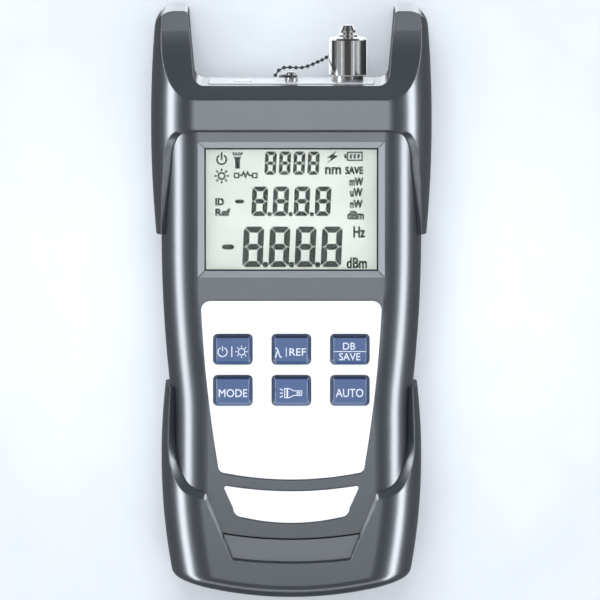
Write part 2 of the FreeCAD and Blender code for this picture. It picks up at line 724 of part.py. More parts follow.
def battery_cover():
    """The door: a plate with a half-round hinge end, two pins and a finger notch."""
    body = new_body("door_plate")
    half = f"({DOOR_HALF} - door_gap)"
    section = draw(body, "door_section", "YZ_Plane", [
        ("tray_high + door_lap - door_gap", "case_rear + case_wall"),
        ("tray_high + door_lap - door_gap", "case_rear"),
        ("hinge_y", "case_rear", "-case_wall / 2"),
        ("hinge_y - case_wall / 2", "case_rear + case_wall / 2", "-case_wall / 2"),
        ("hinge_y", "case_rear + case_wall")], f"-{half}")
    pad(body, section, f"2 * {half}")
    pocket(body, draw(body, "finger_notch", "XY_Plane", rounded(
        "0", "tray_high - notch_in", "notch_half", "notch_round + 0.1", "notch_round"), "0"),
        "case_rear + notch_deep", upward=True)
    for index in range(3):
        line = f"(tray_high - notch_in - notch_round - {index + 1} * groove_pitch)"
        groove = f"(notch_half - {index} * groove_pitch)"
        pocket(body, draw(body, f"door_groove_{index}", "XY_Plane", rounded(
            "0", line, groove, "groove_wide / 2", "groove_wide / 2 - 0.02"), "0"),
            "case_rear + groove_deep", upward=True)
    pins = hinge_rod("hinge_pins", "hinge_pin", f"{half} + door_gap + hinge_reach - 0.2")
    return piece(joined("door_with_pins", [body, pins]), "battery_cover")


# ---- display, keypad and board ----------------------------------------------

def sheet_block(label, lap, low, high):
    """A sheet of the display's stack, wider than the opening by a lap."""
    return piece(box(label, f"-lcd_half - {lap}", f"lcd_half + {lap}", f"lcd_low - {lap}",
                     f"lcd_high + {lap}", low, high), label)


def display_stack():
    lens_top = "(case_front - bezel_depth)"
    light_top = "(board_top + light_thick)"
    sheet_block("display_window", "lens_lap", f"{lens_top} - lens_thick", lens_top)
    sheet_block("lcd_panel", "glass_lap", light_top, f"{light_top} + glass_thick")
    sheet_block("lcd_backlight", "glass_lap", "board_top", light_top)


def panels():
    """The printed keypad overlay and the nameplate, set into the front cover."""
    low = "case_front - recess"
    overlay = slab("overlay", keypad_outline("overlay_gap"), low, f"{low} + overlay_thick")
    holes = [key_block(f"{label}_overlay", label, "key_gap", f"{low} - 1", f"{low} + 2")
             for label in KEY_NAMES]
    piece(cut("keypad_panel", overlay, *holes), "keypad_panel")
    piece(slab("nameplate", nameplate_outline("overlay_gap"), low, f"{low} + overlay_thick"),
          "nameplate")


LIP_TOP = "(case_front - case_wall - key_gap)"
DOME_TALL = f"({LIP_TOP} - key_lip_thick - board_top - key_travel - dome_gap)"


def key(label):
    """A key cap: bevelled top, and a lip below that the cover holds down."""
    across, along = key_place(label)
    lip_low = f"({LIP_TOP} - key_lip_thick)"
    body = slab(label, rounded(across, along, "key_wide / 2 + key_lip", "key_tall / 2 + key_lip",
                               "key_round"), lip_low, LIP_TOP)
    cap = draw(body, label + "_cap", "XY_Plane", rounded(
        across, along, "key_wide / 2", "key_tall / 2", "key_round"), LIP_TOP)
    pad(body, cap, f"case_front + key_proud - {LIP_TOP}")
    top = value("case_front + key_proud")
    dress(body, "Chamfer", lambda middle, room: abs(middle.z - top) < 1e-3
          and room.ZLength < 1e-3, "key_bevel")
    return piece(body, label)


def keypad_mat():
    """A rubber mat on the board, with a hollow dome under each key."""
    skirt = slab("mat_sheet", rectangle("mat_half", "mat_low", "mat_high"), "board_top",
                 "board_top + mat_thick")
    domes, hollows = [], []
    for label in KEY_NAMES:
        across, along = key_place(label)
        spot = (across, along, "board_top")
        domes.append(turned(label + "_dome", [
            ("0", "0"), ("dome_radius", "0"), ("dome_radius", "mat_thick"),
            ("dome_top_radius", DOME_TALL), ("0", DOME_TALL)], "Z_Axis", spot))
        hollows.append(turned(label + "_dome_hollow", [
            ("0", "-1"), ("snap_radius + 0.3", "-1"), ("snap_radius + 0.3", "mat_thick"),
            ("dome_top_radius - 0.8", f"{DOME_TALL} - 0.7"), ("0", f"{DOME_TALL} - 0.7")],
            "Z_Axis", spot))
    return piece(cut("keypad_mat", joined("mat_solid", [skirt] + domes), *hollows),
                 "keypad_mat")


def key_switches():
    """A snap dome on the board under each key."""
    snaps = []
    for label in KEY_NAMES:
        across, along = key_place(label)
        snaps.append(turned(label + "_snap", [
            ("0", "0"), ("snap_radius", "0"), ("snap_radius", "0.15"),
            ("snap_radius - 1", "snap_tall"), ("0", "snap_tall")], "Z_Axis",
            (across, along, "board_top")))
    return piece(group("snap_domes", snaps), "key_switches")


def main_board():
    board = slab("board_plate", rectangle("board_half", "board_low", "board_high"),
                 "board_top - board_thick", "board_top")
    holes = [rod(f"board_hole_{index}", "pilot_radius + 0.3", across, along,
                 "board_top - board_thick - 1", "board_top + 1")
             for index, (across, along) in enumerate(
                 four("board_screw_x", "board_screw_high", "board_screw_low"))]
    piece(cut("main_board", board, *holes), "main_board")
    piece(rod("buzzer", "buzzer_radius", "buzzer_x", "buzzer_y",
              "board_top - board_thick - buzzer_thick", "board_top - board_thick"), "buzzer")


def screws(label, spots, head, shaft, seat, thick, tip):
    """Pan-head screws driven towards +Z."""
    made = [turned(f"{label}_{index}", [
        ("0", f"{seat} - {thick}"), (f"{head} - 0.5", f"{seat} - {thick}"),
        (head, f"{seat} - {thick} + 0.5"), (head, seat), (shaft, seat),
        (shaft, f"{tip} - 1"), (f"{shaft} / 2", tip), ("0", tip)], "Z_Axis",
        (across, along, "0")) for index, (across, along) in enumerate(spots)]
    return piece(group(label + "_set", made), label)


# ---- batteries and their contacts -------------------------------------------

CELL_Z = "(case_rear + case_wall + cell_gap + cell_radius)"


def battery(label, column, turn):
    """A cell lying along Y, its nub towards +Y when turn is 1."""
    across = f"{column} * cell_pitch"
    wall = "tray_high" if turn > 0 else "-tray_low"
    tip = f"({wall} - contact_thick - 0.1)"
    start = f"({tip} - nub_tall - cell_length)"
    end = f"({tip} - nub_tall)"
    corners = [("0", start), ("cell_radius - 0.6", start), ("cell_radius", f"{start} + 0.6"),
               ("cell_radius", f"{end} - 0.6"), ("cell_radius - 0.6", end),
               ("nub_radius", end), ("nub_radius", tip), ("0", tip)]
    profile = [(radius, f"{turn} * {line}") for radius, line in corners]
    return piece(turned(label, profile, at=(across, "0", CELL_Z)), label)


def contacts(cells_by_column):
    """A coil spring at each cell's flat end and a plate at its nub."""
    springs, plates = [], []
    for label, column, turn in cells_by_column:
        across = f"{column} * cell_pitch"
        wall = "tray_high" if turn > 0 else "tray_low"
        near, far = (f"{wall} - contact_thick", wall) if turn > 0 else (
            wall, f"{wall} + contact_thick")
        plates.append(box(label + "_plate", f"{across} - contact_wide / 2",
                          f"{across} + contact_wide / 2", near, far,
                          f"{CELL_Z} - contact_wide / 2", f"{CELL_Z} + contact_wide / 2"))
        springs.append(coil(label, across, turn))
    piece(group("plate_set", plates), "contact_plates")
    piece(group("spring_set", springs), "contact_springs")


def coil(label, across, turn):
    """A battery spring: a helix of wire along Y between the wall and the cell."""
    wire = value("spring_wire")
    room = value("(tray_high - tray_low) - cell_length - nub_tall - contact_thick - 0.1")
    height = room - 2 * wire - 0.2
    radius = value("spring_radius")
    helix = Part.makeLongHelix(height / value("spring_turns"), height, radius)
    section = Part.Wire([Part.Edge(Part.Circle(Vector(radius, 0, 0), Vector(0, 1, 0), wire))])
    shape = Part.Wire(helix.Edges).makePipeShell([section], True, True)
    feature = doc.addObject("Part::Feature", label + "_spring")
    feature.Shape = shape
    start = value("tray_low") + wire + 0.1 if turn > 0 else value("tray_high") - wire - 0.1
    feature.Placement = Placement(Vector(value(across), start, value(CELL_Z)),
                                  Rotation(Vector(1, 0, 0), -90 if turn > 0 else 90))
    return feature


# ---- port, dust cap and chain -----------------------------------------------

PORT = ("port_x", "0", "port_z")


def connector_panel():
    plate = box("panel_plate", "-panel_half", "panel_half", "case_top",
                "case_top + panel_thick", "port_z - panel_tall / 2", "port_z + panel_tall / 2")
    return piece(cut("connector_panel", plate,
                     y_rod("panel_port", "port_collar + screw_gap", "port_x", "case_top - 1",
                           "case_top + panel_thick + 1"),
                     y_rod("panel_torch", "torch_radius + screw_gap", "torch_x",
                           "case_top - 1", "case_top + panel_thick + 1"),
                     y_rod("panel_anchor", "anchor_neck + screw_gap", "0", "case_top - 1",
                           "case_top + panel_thick + 1")), "connector_panel")


def port():
    """The fibre port: a threaded barrel on a square flange, a sleeve in its middle and
    the detector in its back."""
    seat = "case_top"
    barrel = turned("port_barrel", [
        ("sleeve_radius", "port_back + 4"), ("can_radius + 0.05", "port_back + 4"),
        ("can_radius + 0.05", "port_back"), ("port_thread", "port_back"),
        ("port_thread", f"{seat} - 0.5"), ("port_collar", f"{seat} - 0.5"),
        ("port_collar", "collar_end"), ("port_thread", "collar_end"),
        ("port_thread", "thread_end - 0.4"), ("port_thread - 0.4", "thread_end"),
        ("port_cup", "thread_end"), ("port_cup", "collar_end - 1"),
        ("sleeve_radius", "collar_end - 1")], at=PORT)
    flange = box("port_flange", "port_x - flange_half", "port_x + flange_half",
                 f"{seat} - flange_thick", seat, "port_z - flange_half",
                 "port_z + flange_half")
    through = y_rod("flange_hole", "port_collar - 0.2", "port_x", f"{seat} - 5", f"{seat} + 1")
    slot = box("port_key_slot", "port_x - key_slot / 2", "port_x + key_slot / 2",
               "collar_end + 1", "thread_end + 1", "port_z + port_cup - 0.5",
               "port_z + port_thread + 1")
    piece(cut("port_adapter", joined("port_solid", [barrel, cut("port_ring", flange, through)]),
              slot), "port_adapter")
    piece(turned("alignment_sleeve", [
        ("port_bore", "port_back + 4.5"), ("sleeve_radius", "port_back + 4.5"),
        ("sleeve_radius", "sleeve_end"), ("port_bore", "sleeve_end")], at=PORT),
        "alignment_sleeve")
    piece(turned("detector", [
        ("0", "port_back - 0.5"), ("can_radius", "port_back - 0.5"),
        ("can_radius", "port_back + 3.2"), ("can_radius - 0.3", "port_back + 3.5"),
        ("0", "port_back + 3.5")], at=PORT), "detector")


def dust_cap():
    top = "cap_end"
    bore = "port_thread + cap_bore_gap"
    return piece(turned("dust_cap", [
        ("0", "thread_end + 1"), (bore, "thread_end + 0.5"),
        (bore, "collar_end + cap_seat_gap"), ("cap_radius - 0.3", "collar_end + cap_seat_gap"),
        ("cap_radius", "collar_end + cap_seat_gap + 0.3"),
        ("cap_radius", f"{top} - cap_chamfer"), ("cap_radius - cap_chamfer", top),
        ("neck_radius", top), ("neck_radius", "knob_low"), ("knob_radius - 0.3", "knob_low"),
        ("knob_radius", "knob_low + 0.3"), ("knob_radius", "knob_low + 0.8"),
        ("neck_radius", "knob_high"), ("0", "knob_high")], at=PORT), "dust_cap")


def chain_ring():
    """A swivel ring in the cap's neck, with a lug for the chain."""
    low = "(cap_end + ring_gap)"
    ring = turned("swivel_ring", [
        ("neck_radius + 0.2", low), ("ring_radius", low), ("ring_radius", f"{low} + ring_thick"),
        ("neck_radius + 0.2", f"{low} + ring_thick")], at=PORT)
    lug = box("ring_lug", "port_x - 0.9", "port_x + 0.9", low, f"{low} + ring_thick",
              "port_z - lug_reach", "port_z - ring_radius + 0.4")
    hole = y_rod("lug_hole", "0.45", "port_x", f"{low} - 1", f"{low} + 2")
    hole_at = cut("chain_lug", lug, hole)
    bind(hole, "Placement.Base.z", "port_z - lug_reach + 0.9")
    doc.recompute()
    return piece(joined("ring_with_lug", [ring, hole_at]), "chain_ring")


def chain_parts():
    """The anchor on the panel, the split ring on its neck and the bead chain."""
    front = "(case_top + panel_thick)"
    piece(turned("chain_anchor", [
        ("0", "case_top - case_wall - 1"), ("anchor_neck", "case_top - case_wall - 1"),
        ("anchor_neck", front), ("anchor_base", front), ("anchor_base", f"{front} + 1.1"),
        ("anchor_neck", f"{front} + 1.1"), ("anchor_neck", f"{front} + 1.8"),
        ("anchor_head", f"{front} + 1.8"), ("anchor_head", "anchor_high - 0.3"),
        ("anchor_head - 0.3", "anchor_high"), ("0", "anchor_high")],
        at=("0", "0", "port_z")), "chain_anchor")
    ring = doc.addObject("Part::Torus", "split_ring")
    bind(ring, "Radius1", "split_ring_radius")
    bind(ring, "Radius2", "split_ring_wire")
    ring.Placement = Placement(Vector(0, 0, 0), Rotation(Vector(1, 0, 0), 90))
    place(ring, "anchor_neck + 0.4 - split_ring_radius + split_ring_wire", f"{front} + 1.45",
          "port_z")
    piece(ring, "split_ring")
    piece(bead_chain(), "cap_chain")


# Where the chain hangs between its ends: shares of the way across, of the climb to the cap
# and of the drop to the level below the cap.
CHAIN_SAG = [(0.33, 0.29, 0.05), (0.55, 0.39, 0.39), (0.75, 0.55, 1.0)]


def bead_chain():
    """Beads on short links, along a curve from the split ring to the cap's ring."""
    height = value("port_z")
    start = value("anchor_neck - 2 * split_ring_radius")
    rise = value("case_top + panel_thick")
    lug = Vector(value("port_x"), value("cap_end + ring_gap + ring_thick / 2"),
                 value("port_z - lug_reach - 0.3"))
    clear = height - value("cap_radius")
    knots = [Vector(start - 0.6, rise + value("chain_tail"), height),
             Vector(start + value("chain_tail"), rise + value("chain_loop"), height)]
    knots += [Vector(start + share * (lug.x - start), rise + climb * (lug.y - rise),
                     height + drop * (clear - height)) for share, climb, drop in CHAIN_SAG]
    knots += [Vector(lug.x - value("chain_tail"), lug.y - value("chain_loop") / 2, clear - 1.3),
              lug]
    curve = Part.BSplineCurve()
    curve.interpolate(knots)
    spots = curve.discretize(Number=int(value("bead_count")))
    shapes = []
    for near, far in zip(spots, spots[1:]):
        link = far - near
        shapes.append(Part.makeSphere(value("bead_radius"), near, link, -90, 90, 360))
        shapes.append(Part.makeCylinder(value("link_wire"), link.Length, near, link))
    feature = doc.addObject("Part::Feature", "bead_chain")
    feature.Shape = shapes[0].multiFuse(shapes[1:])
    return feature


def torch():
    seat = "case_top"
    piece(y_rod("torch_lens", "torch_radius", "torch_x", f"{seat} - 0.8",
                f"{seat} + panel_thick + 0.1"), "torch_lens")
    piece(turned("torch_led", [
        ("0", f"{seat} - 6"), ("torch_radius", f"{seat} - 6"), ("torch_radius", f"{seat} - 5"),
        ("torch_radius - 0.2", f"{seat} - 5"), ("torch_radius - 0.2", f"{seat} - 2.2"),
        ("torch_radius - 1", f"{seat} - 1.2"), ("0", f"{seat} - 0.9")],
        at=("torch_x", "0", "port_z")), "torch_led")

# ---- the meter ---------------------------------------------------------------

CELLS = [("battery_1", -1, 1), ("battery_2", 0, -1), ("battery_3", 1, 1)]

front_cover()
rear_cover()
top_guard()
bottom_boot()
battery_cover()
display_stack()
panels()
for key_label in KEY_NAMES:
    key(key_label)
keypad_mat()
key_switches()
main_board()
screws("case_screws", four("screw_x", "screw_high", "screw_low"), "screw_head",
       "screw_radius", "screw_seat", "screw_head_thick", "screw_tip")
screws("board_screws", four("board_screw_x", "board_screw_high", "board_screw_low"),
       "board_screw_head", "pilot_radius", "board_top - board_thick", "board_head_thick",
       "board_top + board_screw_reach")
for cell_label, cell_column, cell_turn in CELLS:
    battery(cell_label, cell_column, cell_turn)
contacts(CELLS)
connector_panel()
port()
dust_cap()
chain_ring()
chain_parts()
torch()


# ---- write the pieces ------------------------------------------------------

for feature in doc.Objects:
    if {"Invalid", "Error"} & set(feature.State):
        raise ValueError(f"{feature.Label} failed: {feature.State}")
for feature in pieces:
    if feature.Shape.isNull() or not feature.Shape.isValid() or not feature.Shape.Solids:
        raise ValueError(f"{feature.Label} has no good shape")
os.makedirs("parts", exist_ok=True)
for feature in pieces:
    feature.Shape.exportStep(f"parts/{feature.Label}.step")
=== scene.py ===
import bpy
import json
import math
import numpy as np
from mathutils import Matrix, Vector

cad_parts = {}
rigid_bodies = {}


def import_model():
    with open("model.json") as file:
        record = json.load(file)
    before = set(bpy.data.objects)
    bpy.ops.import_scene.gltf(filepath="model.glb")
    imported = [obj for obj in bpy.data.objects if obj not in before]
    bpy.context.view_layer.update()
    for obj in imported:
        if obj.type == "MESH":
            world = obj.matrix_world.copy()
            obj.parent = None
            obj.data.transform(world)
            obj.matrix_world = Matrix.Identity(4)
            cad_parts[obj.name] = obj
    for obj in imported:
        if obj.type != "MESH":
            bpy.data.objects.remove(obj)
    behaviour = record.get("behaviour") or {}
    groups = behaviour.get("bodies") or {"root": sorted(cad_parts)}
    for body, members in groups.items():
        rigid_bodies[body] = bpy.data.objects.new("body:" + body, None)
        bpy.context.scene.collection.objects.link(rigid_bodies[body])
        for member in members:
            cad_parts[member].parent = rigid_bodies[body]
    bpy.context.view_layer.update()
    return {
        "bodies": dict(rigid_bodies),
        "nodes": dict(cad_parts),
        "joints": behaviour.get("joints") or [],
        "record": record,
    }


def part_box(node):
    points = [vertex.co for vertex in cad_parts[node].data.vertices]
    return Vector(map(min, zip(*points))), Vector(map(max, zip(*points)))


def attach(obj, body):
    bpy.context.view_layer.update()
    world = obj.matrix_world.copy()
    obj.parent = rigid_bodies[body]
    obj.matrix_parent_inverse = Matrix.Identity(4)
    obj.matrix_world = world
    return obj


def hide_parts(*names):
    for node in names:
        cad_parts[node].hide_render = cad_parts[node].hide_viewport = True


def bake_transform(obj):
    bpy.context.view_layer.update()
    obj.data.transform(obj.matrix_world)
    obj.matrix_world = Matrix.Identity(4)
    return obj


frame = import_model()
nodes = frame["nodes"]
mm = 0.001
print("frame loaded:", len(nodes), "nodes")


def newGroup(name, inputs, outputs):
    # an empty shader node group with named sockets
    group = bpy.data.node_groups.new(name, "ShaderNodeTree")
    for label, kind, value in inputs:
        socket = group.interface.new_socket(label, in_out="INPUT", socket_type=kind)
        if value is not None:
            socket.default_value = value
    for label, kind in outputs:
        group.interface.new_socket(label, in_out="OUTPUT", socket_type=kind)
    return group


def add(tree, kind, **settings):
    # one node; settings are its own properties, or its inputs when named with a leading in_
    node = tree.nodes.new(kind)
    for key, value in settings.items():
        if key.startswith("in_"):
            node.inputs[key[3:]].default_value = value
        else:
            setattr(node, key, value)
    return node


def stretch(tree, fromLow, fromHigh, toLow, toHigh):
    # a clamped linear map from one range to another
    node = add(tree, "ShaderNodeMapRange")
    limits = {"From Min": fromLow, "From Max": fromHigh, "To Min": toLow, "To Max": toHigh}
    for label, value in limits.items():
        node.inputs[label].default_value = value
    return node


def wire(tree, *pairs):
    # links each output to the input that it feeds
    for source, target in pairs:
        tree.links.new(source, target)


def makeMouldedFinish():
    # colour = base x (1 + tone noise), mixed on edges towards the edge colour: lifted as wear on
    # the plastics, darkened as
    #  painted shade of the gap on the panel film; roughness = base + fine noise; normal = rounded
    #  edge normal bumped by a fine spark-erosion grain
    group = newGroup("mouldedFinish",
                     [("Colour", "NodeSocketColor", (0.5, 0.5, 0.5, 1)),
                      ("Edge colour", "NodeSocketColor", (0.7, 0.7, 0.7, 1)),
                      ("Edge width", "NodeSocketFloat", 0.0003),
                      ("Edge wear", "NodeSocketFloat", 0.2),
                      ("Tone", "NodeSocketFloat", 0.06),
                      ("Grain size", "NodeSocketFloat", 0.00035),
                      ("Grain depth", "NodeSocketFloat", 0.1),
                      ("Roughness", "NodeSocketFloat", 0.4),
                      ("Roughness spread", "NodeSocketFloat", 0.06)],
                     [("Colour", "NodeSocketColor"), ("Roughness", "NodeSocketFloat"),
                      ("Normal", "NodeSocketVector"), ("Edge", "NodeSocketFloat")])
    inside = add(group, "NodeGroupInput")
    out = add(group, "NodeGroupOutput")
    place = add(group, "ShaderNodeTexCoord")
    cloudy = add(group, "ShaderNodeTexNoise", in_Scale=55.0, in_Detail=3.0)
    pitch = add(group, "ShaderNodeMath", operation="DIVIDE")
    pitch.inputs[0].default_value = 1.0
    fine = add(group, "ShaderNodeTexNoise", in_Detail=2.0, in_Roughness=0.6)
    tone = stretch(group, 0.3, 0.7, -1.0, 1.0)
    scaled = add(group, "ShaderNodeMath", operation="MULTIPLY_ADD")
    scaled.inputs[2].default_value = 1.0
    shaded = add(group, "ShaderNodeVectorMath", operation="SCALE")
    rounded = add(group, "ShaderNodeBevel", samples=6)
    flat = add(group, "ShaderNodeNewGeometry")
    turn = add(group, "ShaderNodeVectorMath", operation="DOT_PRODUCT")
    edge = stretch(group, 0.995, 0.85, 0.0, 1.0)
    edgeWearAndShade = add(group, "ShaderNodeMath", operation="MULTIPLY")
    broken = add(group, "ShaderNodeMath", operation="MULTIPLY")
    mix = add(group, "ShaderNodeMix", data_type="RGBA")
    rough = add(group, "ShaderNodeMath", operation="MULTIPLY_ADD")
    bump = add(group, "ShaderNodeBump", in_Distance=0.00005)
    wire(group,
         (place.outputs["Object"], cloudy.inputs["Vector"]),
         (place.outputs["Object"], fine.inputs["Vector"]),
         (inside.outputs["Grain size"], pitch.inputs[1]),
         (pitch.outputs[0], fine.inputs["Scale"]),
         (cloudy.outputs["Fac"], tone.inputs["Value"]),
         (tone.outputs["Result"], scaled.inputs[0]),
         (inside.outputs["Tone"], scaled.inputs[1]),
         (inside.outputs["Colour"], shaded.inputs[0]),
         (scaled.outputs[0], shaded.inputs["Scale"]),
         (inside.outputs["Edge width"], rounded.inputs["Radius"]),
         (rounded.outputs["Normal"], turn.inputs[0]),
         (flat.outputs["Normal"], turn.inputs[1]),
         (turn.outputs["Value"], edge.inputs["Value"]),
         (edge.outputs["Result"], edgeWearAndShade.inputs[0]),
         (inside.outputs["Edge wear"], edgeWearAndShade.inputs[1]),
         (edgeWearAndShade.outputs[0], broken.inputs[0]),
         (cloudy.outputs["Fac"], broken.inputs[1]),
         (broken.outputs[0], mix.inputs["Factor"]),
         (shaded.outputs["Vector"], mix.inputs["A"]),
         (inside.outputs["Edge colour"], mix.inputs["B"]),
         (fine.outputs["Fac"], rough.inputs[0]),
         (inside.outputs["Roughness spread"], rough.inputs[1]),
         (inside.outputs["Roughness"], rough.inputs[2]),
         (fine.outputs["Fac"], bump.inputs["Height"]),
         (inside.outputs["Grain depth"], bump.inputs["Strength"]),
         (rounded.outputs["Normal"], bump.inputs["Normal"]),
         (mix.outputs["Result"], out.inputs["Colour"]),
         (rough.outputs[0], out.inputs["Roughness"]),
         (bump.outputs["Normal"], out.inputs["Normal"]),
         (edge.outputs["Result"], out.inputs["Edge"]))
    return group


def makeTurnedFinish():
    # metal turned on a lathe: fine rings along one axis, as stripes of height and roughness
    group = newGroup("turnedFinish",
                     [("Colour", "NodeSocketColor", (0.8, 0.8, 0.8, 1)),
                      ("Dull colour", "NodeSocketColor", (0.5, 0.5, 0.5, 1)),
                      ("Edge width", "NodeSocketFloat", 0.0001),
                      ("Ring pitch", "NodeSocketFloat", 0.00012),
                      ("Ring depth", "NodeSocketFloat", 0.1),
                      ("Roughness", "NodeSocketFloat", 0.15),
                      ("Roughness spread", "NodeSocketFloat", 0.06)],
                     [("Colour", "NodeSocketColor"), ("Roughness", "NodeSocketFloat"),
                      ("Normal", "NodeSocketVector")])
    inside = add(group, "NodeGroupInput")
    out = add(group, "NodeGroupOutput")
    place = add(group, "ShaderNodeTexCoord")
    squeeze = add(group, "ShaderNodeMapping")
    squeeze.inputs["Scale"].default_value = (0.02, 1.0, 0.02)
    pitch = add(group, "ShaderNodeMath", operation="DIVIDE")
    pitch.inputs[0].default_value = 1.0
    rings = add(group, "ShaderNodeTexNoise", in_Detail=2.0)
    cloudy = add(group, "ShaderNodeTexNoise", in_Scale=260.0, in_Detail=3.0)
    mix = add(group, "ShaderNodeMix", data_type="RGBA")
    rough = add(group, "ShaderNodeMath", operation="MULTIPLY_ADD")
    rounded = add(group, "ShaderNodeBevel", samples=6)
    bump = add(group, "ShaderNodeBump", in_Distance=0.00002)
    wire(group,
         (place.outputs["Object"], squeeze.inputs["Vector"]),
         (squeeze.outputs["Vector"], rings.inputs["Vector"]),
         (place.outputs["Object"], cloudy.inputs["Vector"]),
         (inside.outputs["Ring pitch"], pitch.inputs[1]),
         (pitch.outputs[0], rings.inputs["Scale"]),
         (cloudy.outputs["Fac"], mix.inputs["Factor"]),
         (inside.outputs["Colour"], mix.inputs["A"]),
         (inside.outputs["Dull colour"], mix.inputs["B"]),
         (rings.outputs["Fac"], rough.inputs[0]),
         (inside.outputs["Roughness spread"], rough.inputs[1]),
         (inside.outputs["Roughness"], rough.inputs[2]),
         (inside.outputs["Edge width"], rounded.inputs["Radius"]),
         (rings.outputs["Fac"], bump.inputs["Height"]),
         (inside.outputs["Ring depth"], bump.inputs["Strength"]),
         (rounded.outputs["Normal"], bump.inputs["Normal"]),
         (mix.outputs["Result"], out.inputs["Colour"]),
         (rough.outputs[0], out.inputs["Roughness"]),
         (bump.outputs["Normal"], out.inputs["Normal"]))
    return group


mouldedFinish = makeMouldedFinish()
turnedFinish = makeTurnedFinish()


def surface(name, group, values, **shader):
    # a material whose Principled shader takes colour, roughness and normal from a finish group
    material = bpy.data.materials.new(name)
    material.use_nodes = True
    tree = material.node_tree
    principled = tree.nodes["Principled BSDF"]
    finish = add(tree, "ShaderNodeGroup", node_tree=group)
    for label, value in values.items():
        finish.inputs[label].default_value = value
    wire(tree,
         (finish.outputs["Colour"], principled.inputs["Base Color"]),
         (finish.outputs["Roughness"], principled.inputs["Roughness"]),
         (finish.outputs["Normal"], principled.inputs["Normal"]))
    for label, value in shader.items():
        principled.inputs[label.replace("_", " ")].default_value = value
    return material


def rgb(red, green, blue):
    # an opaque colour
    return (red, green, blue, 1.0)


def plastic(name, colour, roughness=0.34, finish=None, **shader):
    # moulded plastic: the edge colour is the body colour lifted by half
    values = {"Colour": rgb(*colour), "Edge colour": rgb(*(min(c * 1.5 + 0.02, 1) for c in colour)),
              "Roughness": roughness}
    return surface(name, mouldedFinish, values | (finish or {}), **shader)


casingLook = {"colour": (0.030, 0.036, 0.042), "roughness": 0.28, "edge": 0.0003}
guardLook = {"colour": (0.031, 0.037, 0.043), "roughness": 0.27, "edge": 0.0005}
# upper, lower and side are painted shade on the keys' flanks; turn is the range of the normal over
# which it fades in
keyLook = {"colour": (0.104, 0.155, 0.294), "roughness": 0.12, "edge": 0.00045,
           "upper": (0.018, 0.030, 0.060), "lower": (0.06, 0.13, 0.31),
           "side": (0.04, 0.07, 0.15), "turn": (0.15, 0.6)}
filmLook = {"colour": (0.93, 0.935, 0.94), "roughness": 0.34, "edge": 0.0002}

casingPlastic = plastic("casingPlastic", casingLook["colour"], casingLook["roughness"],
                        {"Edge width": casingLook["edge"]}, Specular_IOR_Level=1.0,
                        Coat_Weight=0.35, Coat_Roughness=0.2)
guardPlastic = plastic("guardPlastic", guardLook["colour"], guardLook["roughness"],
                       {"Edge width": guardLook["edge"]}, Specular_IOR_Level=1.0,
                       Coat_Weight=0.45, Coat_Roughness=0.18)
bezelPlastic = plastic("bezelPlastic", casingLook["colour"], 0.36, Specular_IOR_Level=0.8)
doorPlastic = plastic("doorPlastic", casingLook["colour"], 0.4, Specular_IOR_Level=0.8)


def makeKeyPlasticWithPaintedShade(look):
    # blue plastic with painted shade on its flanks, told by the way they face: the upper ones
    # painted near black, the lower ones a deeper blue, the sides dark; each painted tint grows as
    # the normal turns from start to end
    material = plastic("keyPlastic", look["colour"], look["roughness"],
                       {"Edge width": look["edge"], "Edge wear": 0.0, "Tone": 0.03},
                       Specular_IOR_Level=1.0, Coat_Weight=1.0, Coat_Roughness=0.08)
    tree = material.node_tree
    principled = tree.nodes["Principled BSDF"]
    facing = add(tree, "ShaderNodeNewGeometry")
    split = add(tree, "ShaderNodeSeparateXYZ")
    wire(tree, (facing.outputs["Normal"], split.inputs["Vector"]))
    colour = principled.inputs["Base Color"].links[0].from_socket
    start, end = look["turn"]
    # painted shade: each flank's tint is mixed over the body colour by the way the flank faces
    for axis, way, tint in (("Y", 1, look["upper"]), ("Y", -1, look["lower"]),
                            ("X", 1, look["side"]), ("X", -1, look["side"])):
        flankShadeMask = stretch(tree, way * start, way * end, 0.0, 1.0)
        mix = add(tree, "ShaderNodeMix", data_type="RGBA")
        mix.inputs["B"].default_value = rgb(*tint)
        wire(tree, (split.outputs[axis], flankShadeMask.inputs["Value"]),
             (flankShadeMask.outputs["Result"], mix.inputs["Factor"]), (colour, mix.inputs["A"]))
        colour = mix.outputs["Result"]
    wire(tree, (colour, principled.inputs["Base Color"]))
    return material


keyPlastic = makeKeyPlasticWithPaintedShade(keyLook)
# white film for the panels; its edges are painted dark, painted shade of the gap round each panel
panelFilm = plastic("panelFilm", filmLook["colour"], filmLook["roughness"],
                    {"Edge colour": rgb(0.04, 0.042, 0.046), "Edge width": filmLook["edge"],
                     "Edge wear": 2.0, "Tone": 0.01, "Grain depth": 0.04})
panelSteel = plastic("panelSteel", (0.60, 0.605, 0.61), 0.22)
seamShade = plastic("seamShade", (0.006, 0.007, 0.008), 0.6, {"Edge wear": 0.0},
                    Specular_IOR_Level=0.1)
matRubber = plastic("matRubber", (0.10, 0.105, 0.11), 0.6)
boardResin = plastic("boardResin", (0.01, 0.16, 0.06), 0.4)
cellJacket = plastic("cellJacket", (0.05, 0.05, 0.055), 0.3)
buzzerPlastic = plastic("buzzerPlastic", (0.02, 0.02, 0.022), 0.45)
lightPlastic = plastic("lightPlastic", (0.85, 0.88, 0.84), 0.4)
sleeveCeramic = plastic("sleeveCeramic", (0.85, 0.85, 0.82), 0.2)
inkFinish = {"Grain depth": 0.0, "Edge wear": 0.0, "Edge width": 0.0}
lcdInk = plastic("lcdInk", (0.022, 0.027, 0.021), 0.5, inkFinish, Specular_IOR_Level=0.0)
legendInk = plastic("legendInk", (0.76, 0.79, 0.87), 0.5, inkFinish)


def metal(name, colour, dull, roughness):
    # a metal with the turned finish, bright in one colour and dulled towards another
    return surface(name, turnedFinish, {"Colour": rgb(*colour), "Dull colour": rgb(*dull),
                                        "Roughness": roughness}, Metallic=1.0)


